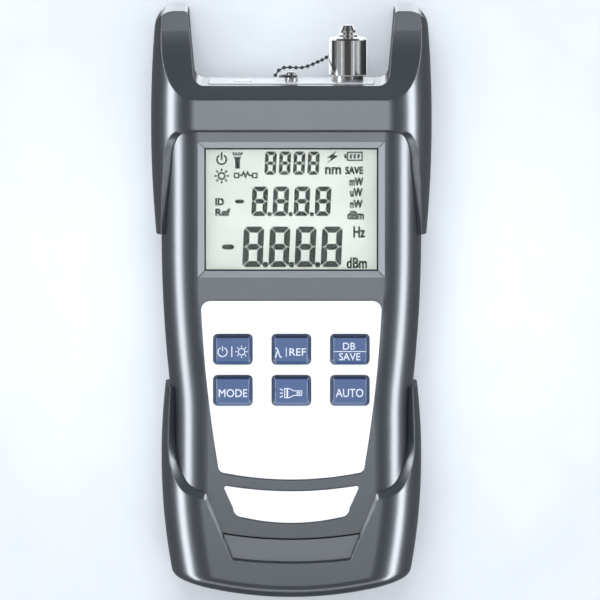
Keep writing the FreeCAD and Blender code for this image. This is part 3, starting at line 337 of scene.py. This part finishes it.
capNickel = metal("capNickel", (0.76, 0.73, 0.70), (0.64, 0.61, 0.58), 0.09)
portNickel = metal("portNickel", (0.70, 0.68, 0.66), (0.55, 0.53, 0.51), 0.16)
chainNickel = metal("chainNickel", (0.20, 0.19, 0.19), (0.10, 0.10, 0.10), 0.22)
screwSteel = metal("screwSteel", (0.42, 0.42, 0.43), (0.30, 0.30, 0.31), 0.3)
springSteel = metal("springSteel", (0.72, 0.71, 0.68), (0.55, 0.54, 0.52), 0.22)
domeSteel = metal("domeSteel", (0.68, 0.68, 0.68), (0.5, 0.5, 0.5), 0.25)
canSteel = metal("canSteel", (0.75, 0.72, 0.60), (0.6, 0.56, 0.44), 0.2)


def clearPlastic(name, tint, roughness, bend):
    # clear moulding: a transmitting shader that lets shadow rays through
    material = surface(name, mouldedFinish, {"Colour": rgb(*tint), "Edge colour": rgb(*tint),
                                             "Roughness": roughness, "Roughness spread": 0.02,
                                             "Grain depth": 0.0}, Transmission_Weight=1.0, IOR=bend)
    tree = material.node_tree
    path = add(tree, "ShaderNodeLightPath")
    through = add(tree, "ShaderNodeBsdfTransparent")
    mix = add(tree, "ShaderNodeMixShader")
    wire(tree, (path.outputs["Is Shadow Ray"], mix.inputs[0]),
         (tree.nodes["Principled BSDF"].outputs[0], mix.inputs[1]),
         (through.outputs[0], mix.inputs[2]),
         (mix.outputs[0], tree.nodes["Material Output"].inputs["Surface"]))
    return material


windowGlass = clearPlastic("windowGlass", (0.98, 0.99, 0.99), 0.02, 1.14)
lensPlastic = clearPlastic("lensPlastic", (0.95, 0.97, 1.0), 0.05, 1.45)


# colours at the display's middle and at its rim, and how far out each of them is reached; the glow
# and the brighter middle are painted light, the darker rim painted shade
lcdLook = {"middle": (0.244, 0.252, 0.225), "shadedRim": (0.218, 0.229, 0.204), "reach": (0.1, 1.0),
           "paintedGlow": 1.6, "roughness": 0.35, "gloss": 0.05}


def makeLcdGlass(look):
    # pale green glass with painted light: it glows, and is painted brighter in the middle; distance
    # from its centre drives colour and glow
    low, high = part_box("lcd_panel")
    middle = (low + high) / 2
    material = surface("lcdGlass", mouldedFinish,
                       {"Grain depth": 0.0, "Roughness": look["roughness"]},
                       Emission_Strength=look["paintedGlow"], Specular_IOR_Level=look["gloss"])
    tree = material.node_tree
    place = add(tree, "ShaderNodeTexCoord")
    centre = add(tree, "ShaderNodeMapping", vector_type="POINT")
    half = (high - low) / 2
    centre.inputs["Location"].default_value = (-middle.x / half.x, -middle.y / half.y, 0)
    centre.inputs["Scale"].default_value = (1 / half.x, 1 / half.y, 0)
    away = add(tree, "ShaderNodeVectorMath", operation="LENGTH")
    # painted light: colour and glow brighter in the middle, painted shade towards the rim
    paintedLightRamp = add(tree, "ShaderNodeValToRGB")
    stops = zip(paintedLightRamp.color_ramp.elements, look["reach"], (look["middle"], look["shadedRim"]))
    for stop, reach, colour in stops:
        stop.position, stop.color = reach, rgb(*colour)
    principled = tree.nodes["Principled BSDF"]
    wire(tree, (place.outputs["Object"], centre.inputs["Vector"]),
         (centre.outputs["Vector"], away.inputs[0]),
         (away.outputs["Value"], paintedLightRamp.inputs["Fac"]),
         (paintedLightRamp.outputs["Color"], principled.inputs["Emission Color"]),
         (paintedLightRamp.outputs["Color"], principled.inputs["Base Color"]))
    return material


lcdGlass = makeLcdGlass(lcdLook)

looks = {
    "front_cover": casingPlastic, "rear_cover": casingPlastic, "top_guard": guardPlastic,
    "bottom_boot": guardPlastic, "battery_cover": doorPlastic, "display_window": windowGlass,
    "lcd_panel": lcdGlass, "lcd_backlight": lightPlastic, "keypad_panel": panelFilm,
    "nameplate": panelFilm, "keypad_mat": matRubber, "key_switches": domeSteel,
    "main_board": boardResin, "buzzer": buzzerPlastic, "case_screws": screwSteel,
    "board_screws": screwSteel, "battery_1": cellJacket, "battery_2": cellJacket,
    "battery_3": cellJacket, "contact_plates": springSteel, "contact_springs": springSteel,
    "connector_panel": panelSteel, "port_adapter": portNickel, "alignment_sleeve": sleeveCeramic,
    "detector": canSteel, "dust_cap": capNickel, "chain_ring": capNickel,
    "chain_anchor": portNickel, "split_ring": chainNickel, "cap_chain": chainNickel,
    "torch_lens": lensPlastic, "torch_led": lensPlastic,
}
keyNames = ("power", "wavelength", "store", "mode", "torch", "auto")
looks.update({"key_" + name: keyPlastic for name in keyNames})
for nodeName, look in looks.items():
    for materialSlot in nodes[nodeName].material_slots:
        materialSlot.material = look
print("finishes on", len(looks), "nodes")


def prism(outline, low, high):
    # a straight-sided plate: the outline's points at two heights, two caps and one wall
    outline = np.asarray(outline, float)
    count = len(outline)
    points = np.vstack([np.column_stack([outline, np.full(count, low)]),
                        np.column_stack([outline, np.full(count, high)])])
    ids = np.arange(count)
    following = np.roll(ids, -1)
    walls = np.column_stack([ids, following, following + count, ids + count])
    return points, [ids[::-1].tolist(), (ids + count).tolist()] + walls.tolist()


def band(outer, inner, low, high):
    # a closed ring of even height between two loops with as many points
    outer, inner = np.asarray(outer, float), np.asarray(inner, float)
    count = len(outer)
    flat = np.vstack([outer, inner])
    points = np.vstack([np.column_stack([flat, np.full(2 * count, z)]) for z in (low, high)])
    ids = np.arange(count)
    following = np.roll(ids, -1)
    lift = 2 * count
    upper = np.column_stack([ids, following, following + count, ids + count]) + lift
    lower = np.column_stack([ids, ids + count, following + count, following])
    outside = np.column_stack([ids, following, following + lift, ids + lift])
    inside = np.column_stack([ids, ids + lift, following + lift, following]) + count
    return points, np.vstack([upper, lower, outside, inside]).tolist()


def arc(centre, radius, start, end, count):
    # points on a circle from one angle to another, in degrees
    angle = np.radians(np.linspace(start, end, count))
    return np.column_stack([centre[0] + radius * np.cos(angle), centre[1] + radius * np.sin(angle)])


def circle(centre, radius):
    # 24 points evenly round a centre
    return arc(centre, radius, 0, 345, 24)


def rectangle(left, low, right, high):
    # four corners, turning left from the lower left one
    return np.array([(left, low), (right, low), (right, high), (left, high)])


def onOffSign(sign):
    # the paths of an on-off sign: an open ring and a stem
    across = sign["centre"][0]
    return [arc(sign["centre"], sign["radius"], *sign["opening"], 30),
            [(across, height) for height in sign["stem"]]]


def sunRays(sign):
    # the paths of eight rays about a centre, between two radii
    centre = sign["centre"]
    return [[(centre[0] + reach * math.cos(ray), centre[1] + reach * math.sin(ray))
             for reach in sign["rays"]] for ray in np.radians(np.arange(0, 360, 45))]


def stroke(path, width):
    # a line of even width: the path moved to each side along its mitred normal
    path = np.asarray(path, float)
    along = np.diff(path, axis=0)
    along /= np.linalg.norm(along, axis=1)[:, None]
    normal = np.column_stack([-along[:, 1], along[:, 0]])
    ends = np.vstack([normal[:1], normal[:-1] + normal[1:], normal[-1:]])
    ends /= np.linalg.norm(ends, axis=1)[:, None]
    half = np.concatenate([[1.0], 1 / np.sum(ends[1:-1] * normal[1:], axis=1), [1.0]]) * width / 2
    return np.vstack([path - ends * half[:, None], (path + ends * half[:, None])[::-1]])


def inset(outline, gap):
    # an outline moved inwards: each side's line is moved by the gap and met with the next
    side = np.roll(outline, -1, axis=0) - outline
    side /= np.linalg.norm(side, axis=1)[:, None]
    inward = np.column_stack([-side[:, 1], side[:, 0]])
    before, beforeIn = np.roll(side, 1, axis=0), np.roll(inward, 1, axis=0)
    turn = before[:, 0] * side[:, 1] - before[:, 1] * side[:, 0]
    shift = inward - beforeIn
    step = (shift[:, 0] * side[:, 1] - shift[:, 1] * side[:, 0]) / turn
    return outline + gap * (beforeIn + before * step[:, None])


# where a word's four strikes lie, in shares of its boldness and of the lift between them
strikes = np.array([(0, 0, 0), (1, 0, 1), (0, 1, 2), (1, 1, 3)])
strikeLift = 0.004


def words(text, left, right, low, high, bottom, top, bold):
    # a word as a mesh, stretched to fill the box that it is given, and struck four times a
    # little apart for its weight
    curve = bpy.data.curves.new(text, "FONT")
    curve.body, curve.extrude, curve.resolution_u = text, 0.5, 3
    holder = bpy.data.objects.new(text, curve)
    bpy.context.scene.collection.objects.link(holder)
    bpy.context.view_layer.update()
    mesh = bpy.data.meshes.new_from_object(holder)
    points = np.zeros(len(mesh.vertices) * 3)
    mesh.vertices.foreach_get("co", points)
    points = points.reshape(-1, 3)
    start, size = points.min(0), np.ptp(points, axis=0)
    room = (right - left - bold, high - low - bold, top - bottom)
    points = (points - start) / size * room + (left, low, bottom)
    letters = [list(face.vertices) for face in mesh.polygons]
    faces = [[corner + strike * len(points) for corner in face]
             for strike in range(len(strikes)) for face in letters]
    points = np.vstack([points + shift for shift in strikes * (bold, bold, strikeLift)])
    bpy.data.objects.remove(holder)
    bpy.data.curves.remove(curve)
    bpy.data.meshes.remove(mesh)
    return points, faces


def piece(name, parts, material, body):
    # joins the parts, given in millimetres, into one mesh that rides on a body
    points = np.vstack([part[0] for part in parts]) * mm
    faces, start = [], 0
    for vertices, polygons in parts:
        faces += [[start + corner for corner in polygon] for polygon in polygons]
        start += len(vertices)
    mesh = bpy.data.meshes.new(name)
    mesh.from_pydata(points.tolist(), [], faces)
    mesh.materials.append(material)
    made = bpy.data.objects.new(name, mesh)
    bpy.context.scene.collection.objects.link(made)
    bpy.context.view_layer.objects.active = made
    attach(made, body)
    return made


lcd = {
    "slant": 0.045, "gap": 0.21, "corner": 0.52, "thick": 0.03, "clear": 0.01, "dotLift": 0.01,
    "bold": 0.25, "line": 0.50,
    # each row: left edge, foot, digit width and height, stroke, pitch, dot radius
    "rows": [(-8.15, 38.85, 3.65, 7.15, 1.3, 4.25, 0.0),
             (-12.05, 26.55, 4.9, 9.0, 1.62, 6.27, 0.66),
             (-14.75, 11.3, 6.3, 12.3, 2.02, 7.77, 0.86)],
    # minus signs: left, right, middle height, stroke
    "minus": [(-16.9, -13.9, 31.0, 1.15), (-20.8, -16.8, 17.4, 1.5)],
    # words: left, right, foot, top
    "words": [("nm", 10.0, 14.8, 39.1, 41.3), ("SAVE", 16.0, 21.4, 39.1, 41.4),
              ("ID", -22.6, -20.0, 29.8, 32.0), ("Ref", -22.6, -18.1, 26.6, 28.9),
              ("mW", 17.2, 21.4, 35.6, 38.2), ("uW", 17.4, 21.2, 32.4, 35.0),
              ("nW", 17.4, 21.2, 29.0, 31.5), ("dBm", 16.6, 21.6, 25.6, 28.2),
              ("Hz", 18.4, 21.9, 20.2, 23.6), ("dBm", 16.4, 22.5, 11.0, 14.3)],
}


def digit(left, foot, width, height, stroke, slant, gap, share):
    # the seven plates of one figure: two bars, four uprights and a pointed middle bar,
    # each inset by half the gap and leant over by the slant; a share of the stroke is cut
    # from the outer corners
    middle, corner = height / 2, stroke * share
    cut = corner / 2
    top = [(cut, height - cut), (stroke, height - stroke), (width - stroke, height - stroke),
           (width - cut, height - cut), (width - corner, height), (corner, height)]
    upper = [(0, middle), (stroke / 2, middle), (stroke, middle + stroke / 2),
             (stroke, height - stroke), (cut, height - cut), (0, height - corner)]
    centre = [(stroke / 2, middle), (stroke, middle - stroke / 2),
              (width - stroke, middle - stroke / 2), (width - stroke / 2, middle),
              (width - stroke, middle + stroke / 2), (stroke, middle + stroke / 2)]
    top, upper, centre = (np.array(part, float) for part in (top, upper, centre))
    flip = np.array([width, 0])
    shapes = [top, (top * (1, -1) + (0, height))[::-1], centre, upper,
              (upper * (1, -1) + (0, height))[::-1], (upper * (-1, 1) + flip)[::-1],
              upper * (-1, -1) + flip + (0, height)]
    placed = []
    for shape in shapes:
        shape = inset(shape, gap / 2)
        shape[:, 0] += left + slant * shape[:, 1]
        shape[:, 1] += foot
        placed.append(shape)
    return placed


def lcdPrints(size):
    # all that the display shows: rows of figures with their dots, minus signs, words and signs
    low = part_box("lcd_panel")[1].z / mm + size["clear"]
    high = low + size["thick"]
    parts = []
    for left, foot, width, height, weight, pitch, dot in size["rows"]:
        for column in range(4):
            start = left + column * pitch
            parts += [prism(shape, low, high) for shape in
                      digit(start, foot, width, height, weight, size["slant"], size["gap"],
                            size["corner"])]
            if dot and column < 3:
                middle = (start + (width + pitch) / 2, foot + dot)
                parts.append(prism(circle(middle, dot), low, high + size["dotLift"]))
    for left, right, height, weight in size["minus"]:
        half = weight / 2
        parts.append(prism([(left, height), (left + half, height - half),
                            (right - half, height - half), (right, height),
                            (right - half, height + half), (left + half, height + half)],
                           low, high))
    for text, left, right, foot, head in size["words"]:
        parts.append(words(text, left, right, foot, head, low, high, size["bold"]))
    parts += lcdSigns(low, high, size["line"])
    return piece("lcdPrints", parts, lcdInk, "housing")


signs = {
    "power": {"centre": (-20.7, 43.5), "radius": 1.4, "opening": (118, 422), "stem": (43.3, 45.7)},
    "sun": {"centre": (-20.7, 38.6), "radius": 1.2, "rays": (1.45, 2.25)},
    # the torch's rays fan out from its middle: spread and height at the foot and at the tip
    "torch": {"middle": -16.0, "rays": (-1, -0.35, 0.35, 1),
              "foot": (0.9, 44.7), "tip": (1.4, 45.7),
              "outline": [(-16.7, 40.8), (-15.3, 40.8), (-15.3, 43.4), (-14.8, 44.3),
                          (-17.2, 44.3), (-16.7, 43.4)]},
    "attenuator": {"line": [(-15.4, 38.75), (-14.7, 38.75), (-14.2, 39.7), (-13.6, 38.3),
                            (-13.0, 39.7), (-12.4, 38.75), (-11.7, 38.75)],
                   "boxes": (-17.1, -11.7), "low": 37.9, "side": 1.7},
    "bolt": [(10.3, 42.2), (14.0, 44.6), (12.6, 44.8), (13.6, 46.2), (10.6, 44.1), (11.9, 43.9)],
    "battery": {"frame": (16.5, 43.1, 21.2, 45.85), "tip": (15.7, 43.9, 16.4, 45.1),
                "bars": (17.3, 18.4, 19.5), "low": 43.85, "high": 45.1, "wide": 0.65, "lean": 0.25},
    "frameShare": 0.8,
}


def lcdSigns(low, high, line, size=signs):
    # the small signs: on-off, sun, torch, attenuator, charging bolt and battery
    sun, torch, load, battery = (size[name] for name in ("sun", "torch", "attenuator", "battery"))
    lines = onOffSign(size["power"]) + sunRays(sun)
    lines += [[(torch["middle"] + ray * spread, height)
               for spread, height in (torch["foot"], torch["tip"])] for ray in torch["rays"]]
    lines.append(load["line"])
    plates = [torch["outline"], size["bolt"], rectangle(*battery["tip"])]
    foot, head, wide, lean = (battery[name] for name in ("low", "high", "wide", "lean"))
    plates += [[(left, foot), (left + wide, foot), (left + wide + lean, head), (left + lean, head)]
               for left in battery["bars"]]
    frames = [rectangle(left, load["low"], left + load["side"], load["low"] + load["side"])
              for left in load["boxes"]]
    frames.append(rectangle(*battery["frame"]))
    drawn = [prism(stroke(path, line), low, high) for path in lines]
    drawn += [prism(plate, low, high) for plate in plates]
    drawn += [band(frame, inset(frame, line * size["frameShare"]), low, high) for frame in frames]
    drawn.append(band(circle(sun["centre"], sun["radius"]),
                      circle(sun["centre"], sun["radius"] - line), low, high))
    return drawn


def slopedPlate(corners, low, high):
    # a thin plate between four corners that each have their own height
    corners = np.asarray(corners, float)
    points = np.vstack([corners + (0, 0, low), corners + (0, 0, high)])
    walls = [[0, 1, 5, 4], [1, 2, 6, 5], [2, 3, 7, 6], [3, 0, 4, 7]]
    return points, [[3, 2, 1, 0], [4, 5, 6, 7]] + walls


bezel = {"half": 25.8, "low": 10.4, "high": 47.0, "wide": 2.0, "deep": 1.4,
         # shadeLine and mitreShade: sizes of the dark lines of painted shade round the window and
         # down the mitres
         "shadeLine": 0.42, "mitreShade": 0.55,
         # each layer's underside and top above the face that it lies on
         "facetSkin": (0.004, 0.012), "mitreShadeSkin": (0.013, 0.02), "windowShadeSkin": (0.005, 0.02)}


def displayFrame(size):
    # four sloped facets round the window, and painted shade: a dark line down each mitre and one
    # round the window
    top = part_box("front_cover")[1].z / mm
    middle = (size["low"] + size["high"]) / 2
    rise = (size["high"] - size["low"]) / 2
    inner = np.array([(size["half"], middle + rise), (-size["half"], middle + rise),
                      (-size["half"], middle - rise), (size["half"], middle - rise)])
    away = np.array([(1, 1), (-1, 1), (-1, -1), (1, -1)])
    outer = inner + away * size["wide"]
    sunk = top - size["deep"]
    facets, lines = [], []
    for index in range(4):
        after = (index + 1) % 4
        facets.append(slopedPlate([(*outer[index], top), (*outer[after], top),
                                   (*inner[after], sunk), (*inner[index], sunk)],
                                  *size["facetSkin"]))
        # a dark strip down the mitre: painted shade where the two facets meet
        side = away[index] * (1, -1) * size["mitreShade"] / 4
        lines.append(slopedPlate([(*(outer[index] - side), top), (*(inner[index] - side), sunk),
                                  (*(inner[index] + side), sunk), (*(outer[index] + side), top)],
                                 *size["mitreShadeSkin"]))
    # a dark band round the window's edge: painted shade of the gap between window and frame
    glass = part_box("display_window")[1].z / mm
    low, high = size["windowShadeSkin"]
    lines.append(band(inner, inner - away * size["shadeLine"], glass + low, glass + high))
    piece("bezelFacets", facets, bezelPlastic, "housing")
    piece("bezelShadeLines", lines, seamShade, "housing")


lcdPrints(lcd)
displayFrame(bezel)
print("display printed")

# the pad in the boot's tongue: its upper edge is an arc, and its face leans back by a few degrees;
# a dark strip along that edge is painted shade of the step
tongue = {"half": 22.0, "lowHalf": 19.0, "edge": -67.0, "sag": 2.6, "span": 25.0, "low": -76.6,
          "step": 0.8, "lean": 1.8, "line": 0.55, "facing": 0.01, "shadeLine": 0.02}


def tonguePad(size):
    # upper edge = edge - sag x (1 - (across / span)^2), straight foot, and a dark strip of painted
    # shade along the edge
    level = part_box("front_cover")[1].z / mm - size["step"]
    across = np.linspace(-size["half"], size["half"], 31)
    edge = size["edge"] - size["sag"] * (1 - (across / size["span"]) ** 2)
    lean = math.tan(math.radians(size["lean"]))

    def leant(outline, lift):
        # a prism raised by tan(lean) x the distance below the edge's highest point
        points, faces = prism(outline, level, level + lift)
        points[:, 2] += (edge.max() - points[:, 1]) * lean
        return points, faces

    upper = np.column_stack([across, edge])[::-1]
    face = np.vstack([upper, [(-size["lowHalf"], size["low"]), (size["lowHalf"], size["low"])]])
    shadeLine = np.vstack([upper, np.column_stack([across, edge - size["line"]])])
    piece("tonguePad", [leant(face, size["facing"])], casingPlastic, "housing")
    # a dark strip along the pad's upper edge: painted shade of the step
    piece("tongueShadeLine", [leant(shadeLine, size["shadeLine"])], seamShade, "housing")


tonguePad(tongue)

legends = {
    "thick": 0.02, "clear": 0.003, "weight": 0.29, "bold": 0.03, "thin": 0.22,
    "words": {"wavelength": [("λ", -4.9, -2.8, -15.3, -12.3), ("REF", -0.57, 4.36, -14.7, -12.5)],
              "store": [("DB", 15.35, 19.0, -12.9, -10.8), ("SAVE", 14.2, 20.5, -16.1, -13.9)],
              "mode": [("MODE", -21.6, -13.1, -27.1, -24.7)],
              "auto": [("AUTO", 13.2, 21.4, -27.1, -24.6)]},
    "onOff": {"centre": (-20.46, -13.6), "radius": 1.35, "opening": (115, 425),
              "stem": (-13.3, -11.9)},
    "sun": {"centre": (-14.8, -13.5), "ring": (1.1, 0.85), "rays": (1.3, 1.85), "weight": 0.25},
    "bar": [(-17.7, -15.05), (-17.7, -11.9)],
    "dividers": {"wavelength": [(-1.5, -15.0), (-1.5, -12.3)],
                 "store": [(12.66, -13.46), (22.1, -13.46)]},
    # the torch: collar, head with body, and switch; its rays spread from the collar
    "torch": {"shapes": [[(-2.1, -27.4), (-1.2, -27.4), (-1.2, -24.4), (-2.1, -24.4)],
                         [(-1.2, -27.4), (-0.6, -27.4), (0.7, -26.7), (3.2, -26.7), (3.2, -25.1),
                          (0.7, -25.1), (-0.6, -24.4), (-1.2, -24.4)],
                         [(1.6, -26.3), (2.6, -26.3), (2.6, -25.5), (1.6, -25.5)]],
              "share": 0.8, "middle": -25.9, "rays": (-0.8, 0, 0.8), "near": -2.5, "far": -3.4,
              "spread": 1.6},
}


def keyLegend(name, size):
    # one key's words and signs, a hair above its cap
    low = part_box("key_" + name)[1].z / mm + size["clear"]
    high = low + size["thick"]
    parts = [words(text, left, right, foot, head, low, high, size["bold"])
             for text, left, right, foot, head in size["words"].get(name, [])]
    if name == "power":
        sun = size["sun"]
        outer, inner = (circle(sun["centre"], radius) for radius in sun["ring"])
        parts += [prism(stroke(path, size["weight"]), low, high)
                  for path in onOffSign(size["onOff"]) + [size["bar"]]]
        parts.append(band(outer, inner, low, high))
        parts += [prism(stroke(ray, sun["weight"]), low, high) for ray in sunRays(sun)]
    if name in size["dividers"]:
        parts.append(prism(stroke(size["dividers"][name], size["thin"]), low, high))
    if name == "torch":
        parts += torchSign(size["torch"], size["weight"], low, high)
    return piece("legend_" + name, parts, legendInk, "key_" + name + "_cap")


def torchSign(sign, weight, low, high):
    # a hand torch lying on its side: three outlined shapes and three rays
    drawn = [band(shape, inset(np.array(shape), weight * sign["share"]), low, high)
             for shape in sign["shapes"]]
    for tilt in sign["rays"]:
        ray = [(sign["near"], sign["middle"] + tilt),
               (sign["far"], sign["middle"] + tilt * sign["spread"])]
        drawn.append(prism(stroke(ray, weight), low, high))
    return drawn


for keyName in keyNames:
    keyLegend(keyName, legends)
print("keys printed")


def dressChain():
    # the chain is a copy of its own solid, and stretches between the panel and the ring
    chain = bpy.data.objects.new("capChain", nodes["cap_chain"].data.copy())
    bpy.context.scene.collection.objects.link(chain)
    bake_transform(chain)
    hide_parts("cap_chain")
    return chain


dressChain()
print("chain in place")


studio = {
    "target": (0.00257, 0.00024, 0.0165), "distance": 3.0, "tilt": 6.0, "frameWidth": 0.1792,
    # the floor's side, colour, and a painted pool of light: how much of the colour is left at two
    # distances from the middle
    "floor": 6.0, "floorColour": (1.0, 1.02, 1.035), "paint": ((0.05, 0.98), (0.11, 0.78)),
    # the surroundings: colour, strength for matt surfaces and for glossy ones above and below
    "world": (0.86, 0.90, 0.96), "soft": 1.1, "mirrored": 0.09, "underneath": 0.2, "dusk": -0.35,
    "tint": (0.885, 0.947, 1.01), "reach": 1.3,
    # lamps by angle from overhead, towards one axis: angle, width, length, power
    "sides": (65, 0.50, 3.0, 54), "ends": (70, 0.35, 1.6, 22), "foot": (57, 0.25, 1.6, 4.4),
    "metalSides": (46, 1.30, 3.0, 4.8), "metalGleam": (36, 0.12, 3.0, 1.0),
    # lamps by place: place, size, power
    "over": ((0, -0.06, 1.6), (0.36, 0.32), 2.13), "key": ((-0.1, 1.2, 1.0), (1.2, 0.8), 11),
    "low": ((0, 0.19, -1.5), (0.4, 0.16), 0.55), "metalFloor": ((0, 0, -0.6), (3.0, 3.0), 36),
}


def softbox(name, place, size, power, along=(0, 1, 0), diffuse=True, glossy=True):
    # a rectangular lamp that faces the object, its second side lying along a given direction
    lamp = bpy.data.lights.new(name, "AREA")
    lamp.shape, lamp.size, lamp.size_y = "RECTANGLE", size[0], size[1]
    lamp.energy, lamp.color = power, studio["tint"]
    holder = bpy.data.objects.new(name, lamp)
    holder.location = place
    back = Vector(place).normalized()
    across = Vector(along).cross(back).normalized()
    holder.rotation_euler = Matrix((across, back.cross(across), back)).transposed().to_euler()
    holder.visible_camera = False
    holder.visible_diffuse, holder.visible_glossy = diffuse, glossy
    bpy.context.scene.collection.objects.link(holder)
    return holder


def longLamps(name, size, acrossX, sides=(-1, 1)):
    # long lamps that face each other over the object, seen in glossy surfaces alone
    angle, width, length, power = size
    out = studio["reach"] * math.sin(math.radians(angle))
    up = studio["reach"] * math.cos(math.radians(angle))
    along = (0, 1, 0) if acrossX else (1, 0, 0)
    places = [(side * out, 0, up) if acrossX else (0, side * out, up) for side in sides]
    return [softbox(name, place, (width, length), power, along, diffuse=False) for place in places]


def lightOnly(name, lamps, lit):
    # light linking: the lamps reach these objects alone
    group = bpy.data.collections.new(name)
    for one in lit:
        group.objects.link(one)
    for lamp in lamps:
        lamp.light_linking.receiver_collection = group


def lightWorld(size):
    # even light for matt surfaces; glossy ones see dark surroundings, brighter below the horizon
    world = bpy.data.worlds.new("studio")
    world.use_nodes = True
    tree = world.node_tree
    back = tree.nodes["Background"]
    back.inputs["Color"].default_value = rgb(*size["world"])
    path = add(tree, "ShaderNodeLightPath")
    way = add(tree, "ShaderNodeTexCoord")
    height = add(tree, "ShaderNodeSeparateXYZ")
    seen = stretch(tree, size["dusk"], 0.0, size["underneath"], size["mirrored"])
    strength = add(tree, "ShaderNodeMix", data_type="FLOAT")
    strength.inputs["A"].default_value = size["soft"]
    wire(tree, (way.outputs["Generated"], height.inputs["Vector"]),
         (height.outputs["Z"], seen.inputs["Value"]),
         (path.outputs["Is Glossy Ray"], strength.inputs["Factor"]),
         (seen.outputs["Result"], strength.inputs["B"]),
         (strength.outputs["Result"], back.inputs["Strength"]))
    bpy.context.scene.world = world


def lightStudio(size):
    # soft frontal light for all, long lamps and one overhead for the plastics, and for the
    # metal a pale floor with dimmer side lamps; the keys do without the lamp overhead, and the
    # boot without the low one
    meshes = [one for one in bpy.context.scene.objects if one.type == "MESH"]
    metals = [one for one in meshes if one.data.materials
              and one.data.materials[0] in (capNickel, portNickel, chainNickel)]
    others = [one for one in meshes if one not in metals]
    facets = [one for one in others if one.data.materials[0] == bezelPlastic]
    softbox("key", *size["key"], along=(1, 0, 0), glossy=False)
    lightOnly("plastics", longLamps("side", size["sides"], True)
              + longLamps("foot", size["foot"], False, (-1,)), others)
    lightOnly("unkeyed", [softbox("over", *size["over"], diffuse=False)],
              [one for one in others if one.data.materials[0] != keyPlastic])
    lightOnly("upper", [softbox("low", *size["low"], diffuse=False)],
              [one for one in others if one != nodes["bottom_boot"]])
    lightOnly("facets", longLamps("end", size["ends"], False), facets)
    lightOnly("metals", longLamps("metalSide", size["metalSides"], True)
              + longLamps("metalGleam", size["metalGleam"], True)
              + [softbox("metalFloor", *size["metalFloor"], diffuse=False)], metals)


def makeFloor(size):
    # a plain pale floor at the height that the object rests on: its paint is scaled by a ramp
    # of the distance from the middle, a painted pool of light that is brightest near the middle
    half = size["floor"] / 2
    paint = plastic("floorPaint", size["floorColour"], 0.8, {"Tone": 0.02}, Specular_IOR_Level=0.1)
    tree = paint.node_tree
    place = add(tree, "ShaderNodeTexCoord")
    away = add(tree, "ShaderNodeVectorMath", operation="LENGTH")
    # painted pool of light: the floor's colour fades with the distance from the middle
    lightPoolRamp = add(tree, "ShaderNodeValToRGB")
    for stop, (reach, shade) in zip(lightPoolRamp.color_ramp.elements, size["paint"]):
        stop.position, stop.color = reach, rgb(shade, shade, shade)
    pooledPaint = add(tree, "ShaderNodeVectorMath", operation="MULTIPLY")
    principled = tree.nodes["Principled BSDF"]
    wire(tree, (place.outputs["Object"], away.inputs[0]),
         (away.outputs["Value"], lightPoolRamp.inputs["Fac"]),
         (lightPoolRamp.outputs["Color"], pooledPaint.inputs[1]),
         (principled.inputs["Base Color"].links[0].from_socket, pooledPaint.inputs[0]),
         (pooledPaint.outputs["Vector"], principled.inputs["Base Color"]))
    mesh = bpy.data.meshes.new("floor")
    mesh.from_pydata([(-half, -half, 0), (half, -half, 0), (half, half, 0), (-half, half, 0)], [],
                     [(0, 1, 2, 3)])
    mesh.materials.append(paint)
    floor = bpy.data.objects.new("floor", mesh)
    bpy.context.scene.collection.objects.link(floor)
    floor.visible_glossy = False


def aimCamera(size):
    # a distant camera tilted from overhead: lens = sensor width x distance / frame width
    tilt = math.radians(size["tilt"])
    target = Vector(size["target"])
    back = Vector((0, math.sin(tilt), math.cos(tilt)))
    data = bpy.data.cameras.new("camera")
    data.sensor_width = 36.0
    data.lens = data.sensor_width * size["distance"] / size["frameWidth"]
    data.clip_end = 100
    camera = bpy.data.objects.new("camera", data)
    camera.location = target + back * size["distance"]
    up = Vector((0, math.cos(tilt), -math.sin(tilt)))
    camera.rotation_euler = Matrix((up.cross(back), up, back)).transposed().to_euler()
    bpy.context.scene.collection.objects.link(camera)
    bpy.context.scene.camera = camera


makeFloor(studio)
lightWorld(studio)
lightStudio(studio)
aimCamera(studio)
bpy.context.scene.view_settings.view_transform = "Standard"
print("studio ready")
